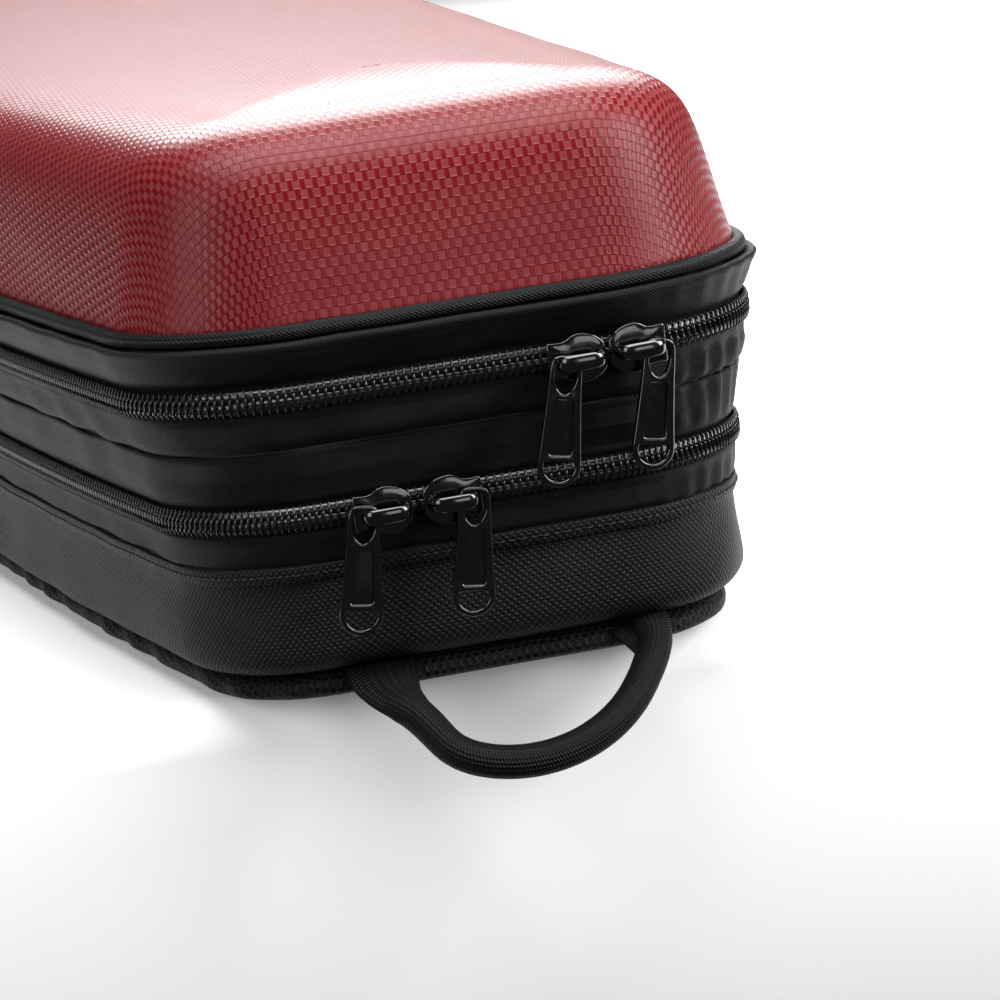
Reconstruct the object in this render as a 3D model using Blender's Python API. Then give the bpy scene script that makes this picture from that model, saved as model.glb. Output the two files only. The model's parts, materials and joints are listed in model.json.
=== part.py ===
"""Half-moon violin case with a raised lid, two double-slider zips and a padded mesh back.

The case lies on its back. +X is the narrow scroll end, -Y the opening side, +Y the straight
hinged side and +Z is up. Every wall is a profile of (offset, height) pairs carried round one
plan outline, so a change to the outline or to a level moves all the pieces that sit on it.
"""

import math

import bmesh
import bpy
import numpy as np
from mathutils import Matrix, Vector

MM = 0.001

# Plan outline at the upper zip.
CASE_LENGTH = 790 * MM
END_WIDTH = 185.4 * MM
BOUT_WIDTH = 268 * MM
END_RADIUS = 51 * MM
BOUT_RADIUS = 80 * MM
SIDE_RADIUS = 2600 * MM

# Walls and skins.
SHELL_WALL = 4.4 * MM
FLOOR_THICK = 5 * MM
TAPE_THICK = 1.0 * MM
SKIN_GAP = 0.3 * MM
HEM_HEIGHT = 4.2 * MM
HEM_THICK = 0.8 * MM
WELT_RADIUS = 2.1 * MM

# Heights of the rows of cloth, from the back that the case lies on upwards.
SEAM_Z = 8 * MM
BODY_TALL = 32.5 * MM
HEM_TO_ZIP = 13.8 * MM
ZIP_TO_SEAM = 19.7 * MM
SEAM_TO_ZIP = 14.8 * MM
ZIP_TO_FOLD = 15.2 * MM
LID_TALL = 54.6 * MM
LID_CROWN = 4 * MM
LID_SHOULDER = 44 * MM
HEM_Z = SEAM_Z + BODY_TALL
LOWER_ZIP_Z = HEM_Z + HEM_TO_ZIP
MID_SEAM_Z = LOWER_ZIP_Z + ZIP_TO_SEAM
UPPER_ZIP_Z = MID_SEAM_Z + SEAM_TO_ZIP
FOLD_Z = UPPER_ZIP_Z + ZIP_TO_FOLD
WELT_Z = FOLD_Z + WELT_RADIUS + SKIN_GAP
LID_TOP_Z = WELT_Z + LID_TALL

# Zips: half width and thickness of the coil chain, and where it ends on the hinged side.
CHAIN_HALF = 4.0 * MM
CHAIN_THICK = 2.4 * MM
CHAIN_SPLIT = 0.2 * MM
ZIP_END_SCROLL = CASE_LENGTH / 2 - END_RADIUS - 44 * MM
ZIP_END_BOUT = -CASE_LENGTH / 2 + BOUT_RADIUS + 50 * MM
ZIP_END_GAP = 1.0 * MM
HINGE_PROUD = 0.6 * MM

# Slider and pull.
SLIDER_LENGTH = 16.4 * MM
SLIDER_HEIGHT = 13 * MM
SLIDER_PLATE = 1.5 * MM
SLIDER_GAP = 0.5 * MM
RAIL_DEPTH = 1.0 * MM
BAIL_HALF = 6.7 * MM
BAIL_LEG = 2.4 * MM
BAIL_WIDE = 2.2 * MM
BAIL_RISE = 9.0 * MM
BAIL_BAR = 1.8 * MM
PULL_THICK = 2.0 * MM
PULL_OFF = BAIL_RISE - BAIL_BAR - PULL_THICK / 2 - 1.2 * MM
PULL_LENGTH = 35 * MM
PULL_TOP = 9.0 * MM
PULL_BOTTOM = 12.4 * MM
PULL_EYE = 4.2 * MM
PULL_SKEW = math.radians(-9)
SLIDER_NOSE_GAP = 0.8 * MM
UPPER_PAIR_Y = END_WIDTH / 2 - END_RADIUS - 2.2 * MM
LOWER_PAIR_Y = -16.2 * MM

# End loop of rolled webbing.
LOOP_CENTRE_Y = 7.5 * MM
LOOP_SPAN = 76 * MM
LOOP_DROP = 43.6 * MM
LOOP_SKEW = -3.5 * MM
LOOP_RADIUS = 4.7 * MM
LOOP_FLARE = 21 * MM
LOOP_SLANT = math.radians(52)

# Carry handle on the opening side.
CARRY_SPAN = 128 * MM
CARRY_ARM = 23 * MM
CARRY_GRIP = 7.5 * MM
CARRY_X = -40 * MM
CARRY_Z = HEM_Z - 7.5 * MM

# Shoulder strap rings on the hinged side.
RING_X = CASE_LENGTH / 2 - 180 * MM
RING_WIDE = 30 * MM
RING_TALL = 19 * MM
RING_WIRE = 1.6 * MM
RING_Z = HEM_Z - 10.5 * MM

# Inside.
BED_TOP_Z = LOWER_ZIP_Z - 10.3 * MM
BED_CLEAR = 0.8 * MM
TRAY_X = (CASE_LENGTH / 2 - 133 * MM, CASE_LENGTH / 2 - 43 * MM)
TRAY_Y = (-END_WIDTH / 2 + 44.7 * MM, END_WIDTH / 2 - 40.7 * MM)
WELL_TAIL_X = -CASE_LENGTH / 2 + 29 * MM
WELL_REAR = 23.7 * MM
WELL_FRONT = 32.3 * MM
WELL_HALF = (BOUT_WIDTH - WELL_REAR - WELL_FRONT) / 2
WELL_Y = END_WIDTH / 2 - WELL_REAR - WELL_HALF
WELL_BODY = 378 * MM
NECK_HALF = 25 * MM
NECK_END = TRAY_X[0] - 26 * MM
BOX_X = (WELL_TAIL_X + WELL_BODY + 8 * MM, TRAY_X[0] - 82 * MM)
BOX_Y = (END_WIDTH / 2 - 59.7 * MM, END_WIDTH / 2 - 21.7 * MM)
BOX_LID_THICK = 2.6 * MM
PANEL_THICK = 4 * MM
PANEL_SLOPE = 40 * MM
PANEL_RIM_Z = UPPER_ZIP_Z - 2.8 * MM
PANEL_TOP_Z = PANEL_RIM_Z + 21 * MM
STRAP_X = (WELL_TAIL_X + WELL_BODY + NECK_END) / 2
STRAP_WIDE = 25 * MM
STRAP_LONG = 52 * MM
STRAP_THICK = 1.6 * MM
TOGGLE_X = -CASE_LENGTH / 2 + 77 * MM
TOGGLE_Y = (END_WIDTH / 2 - 152.7 * MM, END_WIDTH / 2 - 74.7 * MM)
TIP_X = CASE_LENGTH / 2 - 95 * MM
TIP_Y = (-17 * MM, 17 * MM)
TIP_DEEP = 24 * MM
TIP_WIDE = 19 * MM
TIP_TALL = 9 * MM
TIP_WALL = 1.8 * MM

COLOURS = {
    "red_weave": (0.28, 0.03, 0.035),
    "black_nylon": (0.018, 0.02, 0.022),
    "black_tape": (0.03, 0.033, 0.036),
    "welt_cord": (0.02, 0.022, 0.024),
    "spacer_mesh": (0.022, 0.024, 0.026),
    "coil_nylon": (0.02, 0.02, 0.022),
    "black_metal": (0.03, 0.03, 0.032),
    "webbing": (0.02, 0.021, 0.023),
    "hinge_cloth": (0.025, 0.027, 0.03),
    "plush_lining": (0.16, 0.16, 0.17),
}


def material(name):
    """The Principled material of one named stuff."""
    found = bpy.data.materials.get(name)
    if found:
        return found
    made = bpy.data.materials.new(name)
    made.use_nodes = True
    shader = made.node_tree.nodes["Principled BSDF"]
    shader.inputs["Base Color"].default_value = (*COLOURS[name], 1.0)
    shader.inputs["Roughness"].default_value = 0.25 if name == "black_metal" else 0.7
    shader.inputs["Metallic"].default_value = 1.0 if name == "black_metal" else 0.0
    return made


def clear_scene():
    """Remove the objects of the startup scene."""
    for obj in list(bpy.data.objects):
        bpy.data.objects.remove(obj, do_unlink=True)


def new_collection(name, hidden=False):
    """A collection linked to the scene."""
    made = bpy.data.collections.new(name)
    made.hide_render = hidden
    bpy.context.scene.collection.children.link(made)
    return made


def add_object(name, data, stuff, where):
    """Link one object of this mesh or curve and give it its material."""
    obj = bpy.data.objects.new(name, data)
    data.materials.append(material(stuff))
    where.objects.link(obj)
    return obj


def mesh_from(name, points, faces):
    """A closed mesh with its faces turned outwards."""
    mesh = bpy.data.meshes.new(name)
    mesh.from_pydata([tuple(map(float, p)) for p in points], [], faces)
    shape = bmesh.new()
    shape.from_mesh(mesh)
    bmesh.ops.recalc_face_normals(shape, faces=shape.faces)
    shape.to_mesh(mesh)
    shape.free()
    return mesh


def pivot(name, place, where):
    """An empty on a joint axis."""
    empty = bpy.data.objects.new(name, None)
    empty.location = place
    empty.empty_display_size = 0.02
    where.objects.link(empty)
    return empty


def hang_on(empty, *objects):
    """Parent the objects to the empty where they stand."""
    for obj in objects:
        obj.parent = empty
        obj.matrix_parent_inverse = Matrix.Translation(empty.location).inverted()


# ---------------------------------------------------------------- outline


def corner_centres():
    """Centres of the four corner arcs: scroll rear, bout rear, bout front, scroll front."""
    half = CASE_LENGTH / 2
    rear = END_WIDTH / 2
    front = rear - BOUT_WIDTH
    return (
        np.array([half - END_RADIUS, rear - END_RADIUS]),
        np.array([-half + BOUT_RADIUS, rear - BOUT_RADIUS]),
        np.array([-half + BOUT_RADIUS, front + BOUT_RADIUS]),
        np.array([half - END_RADIUS, -rear + END_RADIUS]),
    )


def front_centre():
    """Centre of the long front arc, which touches both front corner arcs from outside."""
    _, _, bout, scroll = corner_centres()
    to_bout = SIDE_RADIUS - BOUT_RADIUS
    to_scroll = SIDE_RADIUS - END_RADIUS
    span = np.linalg.norm(scroll - bout)
    along = (to_bout**2 - to_scroll**2 + span**2) / (2 * span)
    rise = math.sqrt(to_bout**2 - along**2)
    ahead = (scroll - bout) / span
    return bout + along * ahead + rise * np.array([-ahead[1], ahead[0]])


def outline():
    """Points and outward normals round the plan, and the index of each named point.

    The round starts at the middle of the scroll end and runs along the hinged side first.
    """
    rear_scroll, rear_bout, front_bout, front_scroll = corner_centres()
    middle = front_centre()
    turn_bout = math.atan2(*(front_bout - middle)[::-1]) % (2 * math.pi)
    turn_scroll = math.atan2(*(front_scroll - middle)[::-1]) % (2 * math.pi)
    arcs = (
        (rear_scroll, END_RADIUS, 0.0, math.pi / 2, 7),
        (rear_bout, BOUT_RADIUS, math.pi / 2, math.pi, 6),
        (front_bout, BOUT_RADIUS, math.pi, turn_bout, 6),
        (middle, SIDE_RADIUS, turn_bout, turn_scroll, 5),
        (front_scroll, END_RADIUS, turn_scroll, 2 * math.pi, 7),
    )
    points = []
    normals = []
    marks = {}
    for k, (centre, radius, start, stop, steps) in enumerate(arcs):
        first = 1 if k in (3, 4) else 0
        for angle in np.linspace(start, stop, steps + 1)[first:]:
            normal = np.array([math.cos(angle), math.sin(angle)])
            points.append(centre + radius * normal)
            normals.append(normal)
        if k == 0:
            ends = (
                ZIP_END_SCROLL,
                ZIP_END_SCROLL - ZIP_END_GAP,
                ZIP_END_BOUT + ZIP_END_GAP,
                ZIP_END_BOUT,
            )
            marks["rear"] = len(points)
            for x in ends:
                points.append(np.array([x, END_WIDTH / 2]))
                normals.append(np.array([0.0, 1.0]))
    return np.array(points), np.array(normals), marks


def loop_at(offset, height):
    """The outline moved out by the offset, at this height."""
    points, normals, _ = outline()
    flat = points + offset * normals
    return np.column_stack([flat, np.full(len(flat), height)])


def inner_loop(offset, share, height):
    """The outline at this offset drawn a share of the way to the middle line of the case."""
    flat = loop_at(offset, height)[:, :2]
    start = np.array([-CASE_LENGTH / 2 + BOUT_WIDTH / 2, END_WIDTH / 2 - BOUT_WIDTH / 2])
    stop = np.array([CASE_LENGTH / 2 - END_WIDTH / 2, 0.0])
    line = stop - start
    along = np.clip((flat - start) @ line / (line @ line), 0, 1)
    nearest = start + along[:, None] * line
    drawn = flat + share * (nearest - flat)
    return np.column_stack([drawn, np.full(len(drawn), height)])


def side_frame(angle, height, offset=0.0):
    """Place on the front arc whose normal points at this angle: place, outward and along."""
    normal = np.array([math.cos(angle), math.sin(angle)])
    place = front_centre() + (SIDE_RADIUS + offset) * normal
    return np.array([*place, height]), normal


# ---------------------------------------------------------------- solids round the outline


def stack_faces(count, rows, closed):
    """Quads between rows of points; the rows close on themselves, and so may the stack."""
    faces = []
    for row in range(rows if closed else rows - 1):
        low = row * count
        high = ((row + 1) % rows) * count
        for k in range(count):
            after = (k + 1) % count
            faces.append((low + k, low + after, high + after, high + k))
    return faces


def band(name, profile, stuff, where):
    """A closed band: a ring-shaped solid whose section is the (offset, height) profile."""
    loops = [loop_at(*pair) for pair in profile]
    faces = stack_faces(len(loops[0]), len(loops), True)
    return add_object(name, mesh_from(name, np.vstack(loops), faces), stuff, where)


def vessel(name, loops, stuff, where):
    """A solid whose skin runs through the loops from one flat middle to another."""
    count = len(loops[0])
    faces = stack_faces(count, len(loops), False)
    faces.append(tuple(range(count)))
    faces.append(tuple(range((len(loops) - 1) * count, len(loops) * count)))
    return add_object(name, mesh_from(name, np.vstack(loops), faces), stuff, where)


def strip(name, profile, on_hinge, stuff, where):
    """A band over part of the outline: between the zip ends, or along the hinge only."""
    _, _, marks = outline()
    rear = marks["rear"]
    loops = [loop_at(*pair) for pair in profile]
    total = len(loops[0])
    if on_hinge:
        order = [rear + 1, rear + 2]
    else:
        order = [(rear + 3 + k) % total for k in range(total - 2)]
    rows = [loop[order] for loop in loops]
    count = len(order)
    faces = []
    for row in range(len(rows)):
        low = row * count
        high = ((row + 1) % len(rows)) * count
        for k in range(count - 1):
            faces.append((low + k, low + k + 1, high + k + 1, high + k))
    faces.append(tuple(row * count for row in range(len(rows))))
    faces.append(tuple(row * count + count - 1 for row in range(len(rows))))
    return add_object(name, mesh_from(name, np.vstack(rows), faces), stuff, where)


def slanted(low, high, thick):
    """Section of a band of this thickness whose outer edge runs from low to high."""
    return [
        (low[0] - thick, low[1]),
        low,
        high,
        (high[0] - thick, high[1]),
    ]


# Outer face of each wall as (offset, height).
TAPE_OVER_COIL = (-1.1 * MM, UPPER_ZIP_Z + CHAIN_HALF + SKIN_GAP)
TAPE_FOLD = (3.2 * MM, FOLD_Z)
TAPE_UNDER_COIL = (-2.6 * MM, UPPER_ZIP_Z - CHAIN_HALF - SKIN_GAP)
MID_SEAM_HIGH = (-4.2 * MM, MID_SEAM_Z + SKIN_GAP)
MID_SEAM_LOW = (-5.2 * MM, MID_SEAM_Z - SKIN_GAP)
TAPE_OVER_LOWER = (-7.6 * MM, LOWER_ZIP_Z + CHAIN_HALF + SKIN_GAP)
TAPE_UNDER_LOWER = (-8.6 * MM, LOWER_ZIP_Z - CHAIN_HALF - SKIN_GAP)
TAPE_AT_HEM = (-9.9 * MM, HEM_Z + SKIN_GAP)
UPPER_COIL = 0.0
LOWER_COIL = -6.5 * MM
BODY_WALL = -10.6 * MM
BODY_SEAM = -19 * MM
PAD_EDGE = -20.5 * MM
PAD_FOOT = -29 * MM
LID_FOOT = -1.0 * MM


def rim_behind(coil):
    """Offset of a rim's outer face behind a coil chain."""
    return coil - CHAIN_THICK - SKIN_GAP


# ---------------------------------------------------------------- base


def base_inner():
    """Offset of the inner face of the base wall."""
    return rim_behind(LOWER_COIL) - TAPE_THICK - SHELL_WALL


def build_base_shell(where):
    """Foam-cored tub with its nylon cover: floor, wall and the rim behind the lower zip."""
    rim = rim_behind(LOWER_COIL) - TAPE_THICK
    inner = base_inner()
    top = LOWER_ZIP_Z - CHAIN_SPLIT
    floor = SEAM_Z + SKIN_GAP
    pairs = [
        (BODY_SEAM - 3 * MM, floor),
        (BODY_SEAM + 2 * MM, floor + 0.6 * MM),
        (BODY_WALL - 2.4 * MM, floor + 4.5 * MM),
        (BODY_WALL, floor + 10 * MM),
        (BODY_WALL, HEM_Z - HEM_HEIGHT - 1 * MM),
        (BODY_WALL, HEM_Z - SKIN_GAP),
        (TAPE_AT_HEM[0] - TAPE_THICK - SKIN_GAP, HEM_Z - SKIN_GAP),
        (rim, TAPE_UNDER_LOWER[1]),
        (rim, top),
        (inner, top),
        (inner, floor + FLOOR_THICK),
    ]
    loops = [loop_at(*pair) for pair in pairs]
    return vessel("base_shell", loops, "black_nylon", where)


def build_mesh_pad(where):
    """Spacer-mesh padding under the base, with the flat that the case lies on."""
    top = SEAM_Z
    pairs = [
        (PAD_FOOT, 0.0),
        (PAD_EDGE - 4 * MM, 1.4 * MM),
        (PAD_EDGE, 4.4 * MM),
        (PAD_EDGE, top - 1.2 * MM),
        (PAD_EDGE - 1.5 * MM, top),
    ]
    return vessel("mesh_back_pad", [loop_at(*p) for p in pairs], "spacer_mesh", where)


def build_hem(where):
    """Folded and stitched top edge of the nylon cover."""
    outer = BODY_WALL + SKIN_GAP + HEM_THICK
    inner = BODY_WALL + SKIN_GAP
    low = HEM_Z - HEM_HEIGHT
    profile = [(inner, low), (outer, low + 0.5 * MM), (outer, HEM_Z), (inner, HEM_Z)]
    return band("body_hem", profile, "black_nylon", where)


def build_base_zip(where):
    """Tape, half chain and hinge cloth that stay with the base."""
    tape = band(
        "base_zip_tape",
        slanted(TAPE_AT_HEM, TAPE_UNDER_LOWER, TAPE_THICK),
        "black_tape",
        where,
    )
    chain = chain_half("base_zip_chain", LOWER_COIL, LOWER_ZIP_Z, -1, where)
    cloth = hinge_half("base_hinge_cloth", LOWER_COIL, LOWER_ZIP_Z, -1, where)
    return [tape, chain, cloth]


def chain_half(name, coil, level, side, where):
    """Half of a coil chain, above (+1) or below (-1) its meeting line."""
    inner = coil - CHAIN_THICK
    near = level + side * CHAIN_SPLIT
    far = level + side * CHAIN_HALF
    round_off = 0.8 * MM
    profile = [
        (inner, near),
        (coil, near),
        (coil, far - side * round_off),
        (coil - round_off, far),
        (inner, far),
    ]
    return strip(name, profile, False, "coil_nylon", where)


def hinge_half(name, coil, level, side, where):
    """Cloth that carries the hinge line along the back, above or below it."""
    inner = coil - CHAIN_THICK
    outer = coil + HINGE_PROUD
    near = level + side * CHAIN_SPLIT
    far = level + side * CHAIN_HALF
    profile = [(inner, near), (outer, near), (outer - HINGE_PROUD, far), (inner, far)]
    return strip(name, profile, True, "hinge_cloth", where)


# ---------------------------------------------------------------- middle frame


def build_middle_frame(where):
    """Ring-shaped wall between the two zips, which carries the inner panel."""
    high = rim_behind(UPPER_COIL) - TAPE_THICK
    low = rim_behind(LOWER_COIL) - TAPE_THICK
    bottom = LOWER_ZIP_Z + CHAIN_SPLIT
    top = UPPER_ZIP_Z - CHAIN_SPLIT
    knee = TAPE_OVER_LOWER[1]
    middle = MID_SEAM_LOW[0] - TAPE_THICK - SKIN_GAP
    profile = [
        (low - SHELL_WALL, bottom),
        (low, bottom),
        (low, knee),
        (middle - 0.8 * MM, MID_SEAM_Z),
        (high, TAPE_UNDER_COIL[1]),
        (high, top),
        (high - SHELL_WALL, top),
        (middle - 0.8 * MM - SHELL_WALL, MID_SEAM_Z),
    ]
    return band("middle_frame", profile, "black_nylon", where)


def build_middle_zip(where):
    """The two tapes, the two half chains and the hinge cloth of the middle frame."""
    return [
        band(
            "middle_tape_lower",
            slanted(TAPE_OVER_LOWER, MID_SEAM_LOW, TAPE_THICK),
            "black_tape",
            where,
        ),
        band(
            "middle_tape_upper",
            slanted(MID_SEAM_HIGH, TAPE_UNDER_COIL, TAPE_THICK),
            "black_tape",
            where,
        ),
        chain_half("middle_zip_chain_lower", LOWER_COIL, LOWER_ZIP_Z, 1, where),
        chain_half("middle_zip_chain_upper", UPPER_COIL, UPPER_ZIP_Z, -1, where),
        hinge_half("middle_hinge_cloth_lower", LOWER_COIL, LOWER_ZIP_Z, 1, where),
        hinge_half("middle_hinge_cloth_upper", UPPER_COIL, UPPER_ZIP_Z, -1, where),
    ]


def frame_inner():
    """Offset of the inner face of the middle frame at its top."""
    return rim_behind(UPPER_COIL) - TAPE_THICK - SHELL_WALL


def build_panel(where):
    """Padded inner panel, crowned so that the bridge of the violin clears it."""
    edge = frame_inner() - 1.4 * MM
    low = PANEL_RIM_Z - PANEL_THICK
    slope = min(PANEL_SLOPE, END_RADIUS + edge - 1 * MM)
    loops = [
        inner_loop(edge - slope, 0.45, PANEL_TOP_Z - PANEL_THICK),
        loop_at(edge - slope, panel_underside()),
        loop_at(edge - 0.45 * slope, panel_underside() - 7 * MM),
        loop_at(edge - 1 * MM, low),
        loop_at(edge, low + 1 * MM),
        loop_at(edge, PANEL_RIM_Z),
        loop_at(edge - 0.45 * slope + 1 * MM, PANEL_TOP_Z - 7 * MM),
        loop_at(edge - slope + 1 * MM, PANEL_TOP_Z - 1 * MM),
        inner_loop(edge - slope + 1 * MM, 0.45, PANEL_TOP_Z),
    ]
    return vessel("inner_panel", loops, "plush_lining", where)


# ---------------------------------------------------------------- lid


def build_lid_shell(where):
    """Red dome: a rim behind the upper zip, a seat for the piping, a wall and a crown."""
    rim = rim_behind(UPPER_COIL) - TAPE_THICK
    seat = LID_FOOT - 2.6 * MM
    bottom = UPPER_ZIP_Z + CHAIN_SPLIT
    wall = SHELL_WALL
    rise = LID_TOP_Z - WELT_Z
    shoulder = min(LID_SHOULDER, END_RADIUS + LID_FOOT - 6 * MM)

    def lean(share):
        return LID_FOOT - share * shoulder

    outer = [
        (rim, bottom),
        (rim, TAPE_OVER_COIL[1]),
        (seat, FOLD_Z - 1 * MM),
        (seat, WELT_Z + WELT_RADIUS + SKIN_GAP),
        (LID_FOOT, WELT_Z + WELT_RADIUS + 0.8 * MM),
        (lean(0.05), WELT_Z + 0.24 * rise),
        (lean(0.125), WELT_Z + 0.5 * rise),
        (lean(0.227), WELT_Z + 0.72 * rise),
        (lean(0.409), WELT_Z + 0.89 * rise),
        (lean(0.682), LID_TOP_Z - 1.6 * MM),
        (lean(1), LID_TOP_Z),
    ]
    inner = [
        (lean(1), LID_TOP_Z - wall),
        (lean(0.682), LID_TOP_Z - 1.8 * MM - wall),
        (lean(0.477), WELT_Z + 0.87 * rise - 0.8 * wall),
        (lean(0.227) - wall, WELT_Z + 0.68 * rise),
        (lean(0.125) - wall, WELT_Z + 0.48 * rise),
        (seat - wall, WELT_Z),
        (rim - wall, bottom),
    ]
    crown = LID_TOP_Z + LID_CROWN
    knee = LID_TOP_Z + 0.7 * LID_CROWN
    loops = [inner_loop(lean(1), 0.85, crown), inner_loop(lean(1), 0.4, knee)]
    loops += [loop_at(*pair) for pair in reversed(outer)]
    loops += [loop_at(*pair) for pair in reversed(inner)]
    loops.append(inner_loop(lean(1), 0.4, knee - wall))
    loops.append(inner_loop(lean(1), 0.85, crown - wall))
    return vessel("lid_shell", loops, "red_weave", where)


def build_lid_zip(where):
    """Zip tape folded out under the piping, the piping and the lid's half chain."""
    tape = band(
        "lid_zip_tape", slanted(TAPE_OVER_COIL, TAPE_FOLD, TAPE_THICK), "black_tape", where
    )
    centre = LID_FOOT - 2.6 * MM + SKIN_GAP + WELT_RADIUS
    section = [
        (centre + WELT_RADIUS * math.cos(a), WELT_Z + WELT_RADIUS * math.sin(a))
        for a in np.linspace(0, 2 * math.pi, 9)[:-1]
    ]
    welt = band("lid_piping", section, "welt_cord", where)
    chain = chain_half("lid_zip_chain", UPPER_COIL, UPPER_ZIP_Z, 1, where)
    cloth = hinge_half("lid_hinge_cloth", UPPER_COIL, UPPER_ZIP_Z, 1, where)
    return [tape, welt, chain, cloth]


# ---------------------------------------------------------------- flat pieces


def flat_curve(name, outlines, thick, resolution=3):
    """Curve filled between its outlines and extruded to this thickness about its plane.

    An outline is a list of points, or of (point, "round") for a smooth one.
    """
    curve = bpy.data.curves.new(name, "CURVE")
    curve.dimensions = "2D"
    curve.fill_mode = "BOTH"
    curve.extrude = thick / 2
    curve.resolution_u = resolution
    for smooth, points in outlines:
        if smooth:
            spline = curve.splines.new("BEZIER")
            spline.bezier_points.add(len(points) - 1)
            for knot, (x, y) in zip(spline.bezier_points, points):
                knot.co = (x, y, 0)
                knot.handle_left_type = "AUTO"
                knot.handle_right_type = "AUTO"
        else:
            spline = curve.splines.new("POLY")
            spline.points.add(len(points) - 1)
            for knot, (x, y) in zip(spline.points, points):
                knot.co = (x, y, 0, 1)
        spline.use_cyclic_u = True
    return curve


def to_mesh(name, curve, stuff, where, matrix):
    """Object of a curve's solid as a mesh, moved by the matrix."""
    maker = bpy.data.objects.new(name + "_outline", curve)
    bpy.context.scene.collection.objects.link(maker)
    graph = bpy.context.evaluated_depsgraph_get()
    graph.update()
    mesh = bpy.data.meshes.new_from_object(maker.evaluated_get(graph))
    bpy.data.objects.remove(maker, do_unlink=True)
    shape = bmesh.new()
    shape.from_mesh(mesh)
    bmesh.ops.remove_doubles(shape, verts=shape.verts, dist=1e-6)
    bmesh.ops.recalc_face_normals(shape, faces=shape.faces)
    shape.to_mesh(mesh)
    shape.free()
    mesh.name = name
    mesh.materials.clear()
    obj = add_object(name, mesh, stuff, where)
    obj.matrix_world = matrix
    return obj


def rounded_rect(low, high, radius, steps=3):
    """Corner-rounded rectangle as points."""
    points = []
    middles = (
        (high[0] - radius, high[1] - radius, 0),
        (low[0] + radius, high[1] - radius, 90),
        (low[0] + radius, low[1] + radius, 180),
        (high[0] - radius, low[1] + radius, 270),
    )
    for x, y, start in middles:
        for k in range(steps + 1):
            angle = math.radians(start + 90 * k / steps)
            points.append((x + radius * math.cos(angle), y + radius * math.sin(angle)))
    return points


def box(name, low, high, stuff, where):
    """Box between two corners."""
    bpy.ops.mesh.primitive_cube_add(size=1)
    obj = bpy.context.active_object
    obj.name = name
    obj.data.name = name
    for holder in list(obj.users_collection):
        holder.objects.unlink(obj)
    where.objects.link(obj)
    size = [b - a for a, b in zip(low, high)]
    obj.data.transform(Matrix.Diagonal((*size, 1.0)))
    obj.data.transform(Matrix.Translation([(a + b) / 2 for a, b in zip(low, high)]))
    obj.data.materials.append(material(stuff))
    return obj


def hide(cutter):
    """Keep a cutter out of the render and drawn as wire."""
    cutter.hide_render = True
    cutter.display_type = "WIRE"


def unite(obj, other):
    """Union of two solids, applied, with the second one removed."""
    joined = obj.modifiers.new("join", "BOOLEAN")
    joined.operation = "UNION"
    joined.solver = "EXACT"
    joined.object = other
    graph = bpy.context.evaluated_depsgraph_get()
    graph.update()
    mesh = bpy.data.meshes.new_from_object(obj.evaluated_get(graph))
    obj.modifiers.clear()
    obj.data = mesh
    bpy.data.objects.remove(other, do_unlink=True)


# ---------------------------------------------------------------- sliders and pulls


def slider_mesh(tools):
    """Slider in its own frame: +X to the nose, +Y up the face, +Z out of the face."""
    half = SLIDER_LENGTH / 2
    tall = SLIDER_HEIGHT / 2
    plate_points = [
        (-half, -0.66 * tall),
        (-0.75 * half, -0.72 * tall),
        (-0.15 * half, -0.98 * tall),
        (0.35 * half, -tall),
        (0.8 * half, -0.72 * tall),
        (half, -0.25 * tall),
        (half, 0.25 * tall),
        (0.8 * half, 0.72 * tall),
        (0.35 * half, tall),
        (-0.15 * half, 0.98 * tall),
        (-0.75 * half, 0.72 * tall),
        (-half, 0.66 * tall),
    ]
    middle = SLIDER_GAP + SLIDER_PLATE / 2
    plate = to_mesh(
        "slider_plate",
        flat_curve("slider_plate", [(False, plate_points)], SLIDER_PLATE),
        "black_metal",
        tools,
        Matrix.Translation((0, 0, middle)),
    )
    plate.data.transform(plate.matrix_world)
    plate.matrix_world = Matrix.Identity(4)
    for side in (-1, 1):
        edges = sorted((side * (CHAIN_HALF + 0.5 * MM), side * 0.9 * tall))
        rail = box(
            "slider_rail",
            (-0.3 * half, edges[0], SLIDER_GAP - RAIL_DEPTH),
            (0.55 * half, edges[1], SLIDER_GAP + 0.5 * SLIDER_PLATE),
            "black_metal",
            tools,
        )
        unite(plate, rail)
    floor = SLIDER_GAP + 0.6 * SLIDER_PLATE
    arch = [
        (-BAIL_HALF, floor),
        (BAIL_HALF, floor),
        (BAIL_HALF, BAIL_RISE - 1.5 * MM),
        (BAIL_HALF - 1.5 * MM, BAIL_RISE),
        (-BAIL_HALF + 1.5 * MM, BAIL_RISE),
        (-BAIL_HALF, BAIL_RISE - 1.5 * MM),
    ]
    inside = BAIL_HALF - BAIL_LEG
    window = [
        (-inside, floor + 0.6 * MM),
        (inside, floor + 0.6 * MM),
        (inside, BAIL_RISE - BAIL_BAR),
        (-inside, BAIL_RISE - BAIL_BAR),
    ]
    bail = to_mesh(
        "slider_bail",
        flat_curve("slider_bail", [(False, arch), (False, window)], BAIL_WIDE),
        "black_metal",
        tools,
        Matrix.Rotation(math.radians(90), 4, "X"),
    )
    bail.data.transform(bail.matrix_world)
    bail.matrix_world = Matrix.Identity(4)
    unite(plate, bail)
    mesh = plate.data
    mesh.name = "zip_slider"
    bpy.data.objects.remove(plate, do_unlink=True)
    return mesh


def leg_centre():
    """Distance from the slider's middle to the bail leg that the pull hangs on."""
    return BAIL_HALF - BAIL_LEG / 2


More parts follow.
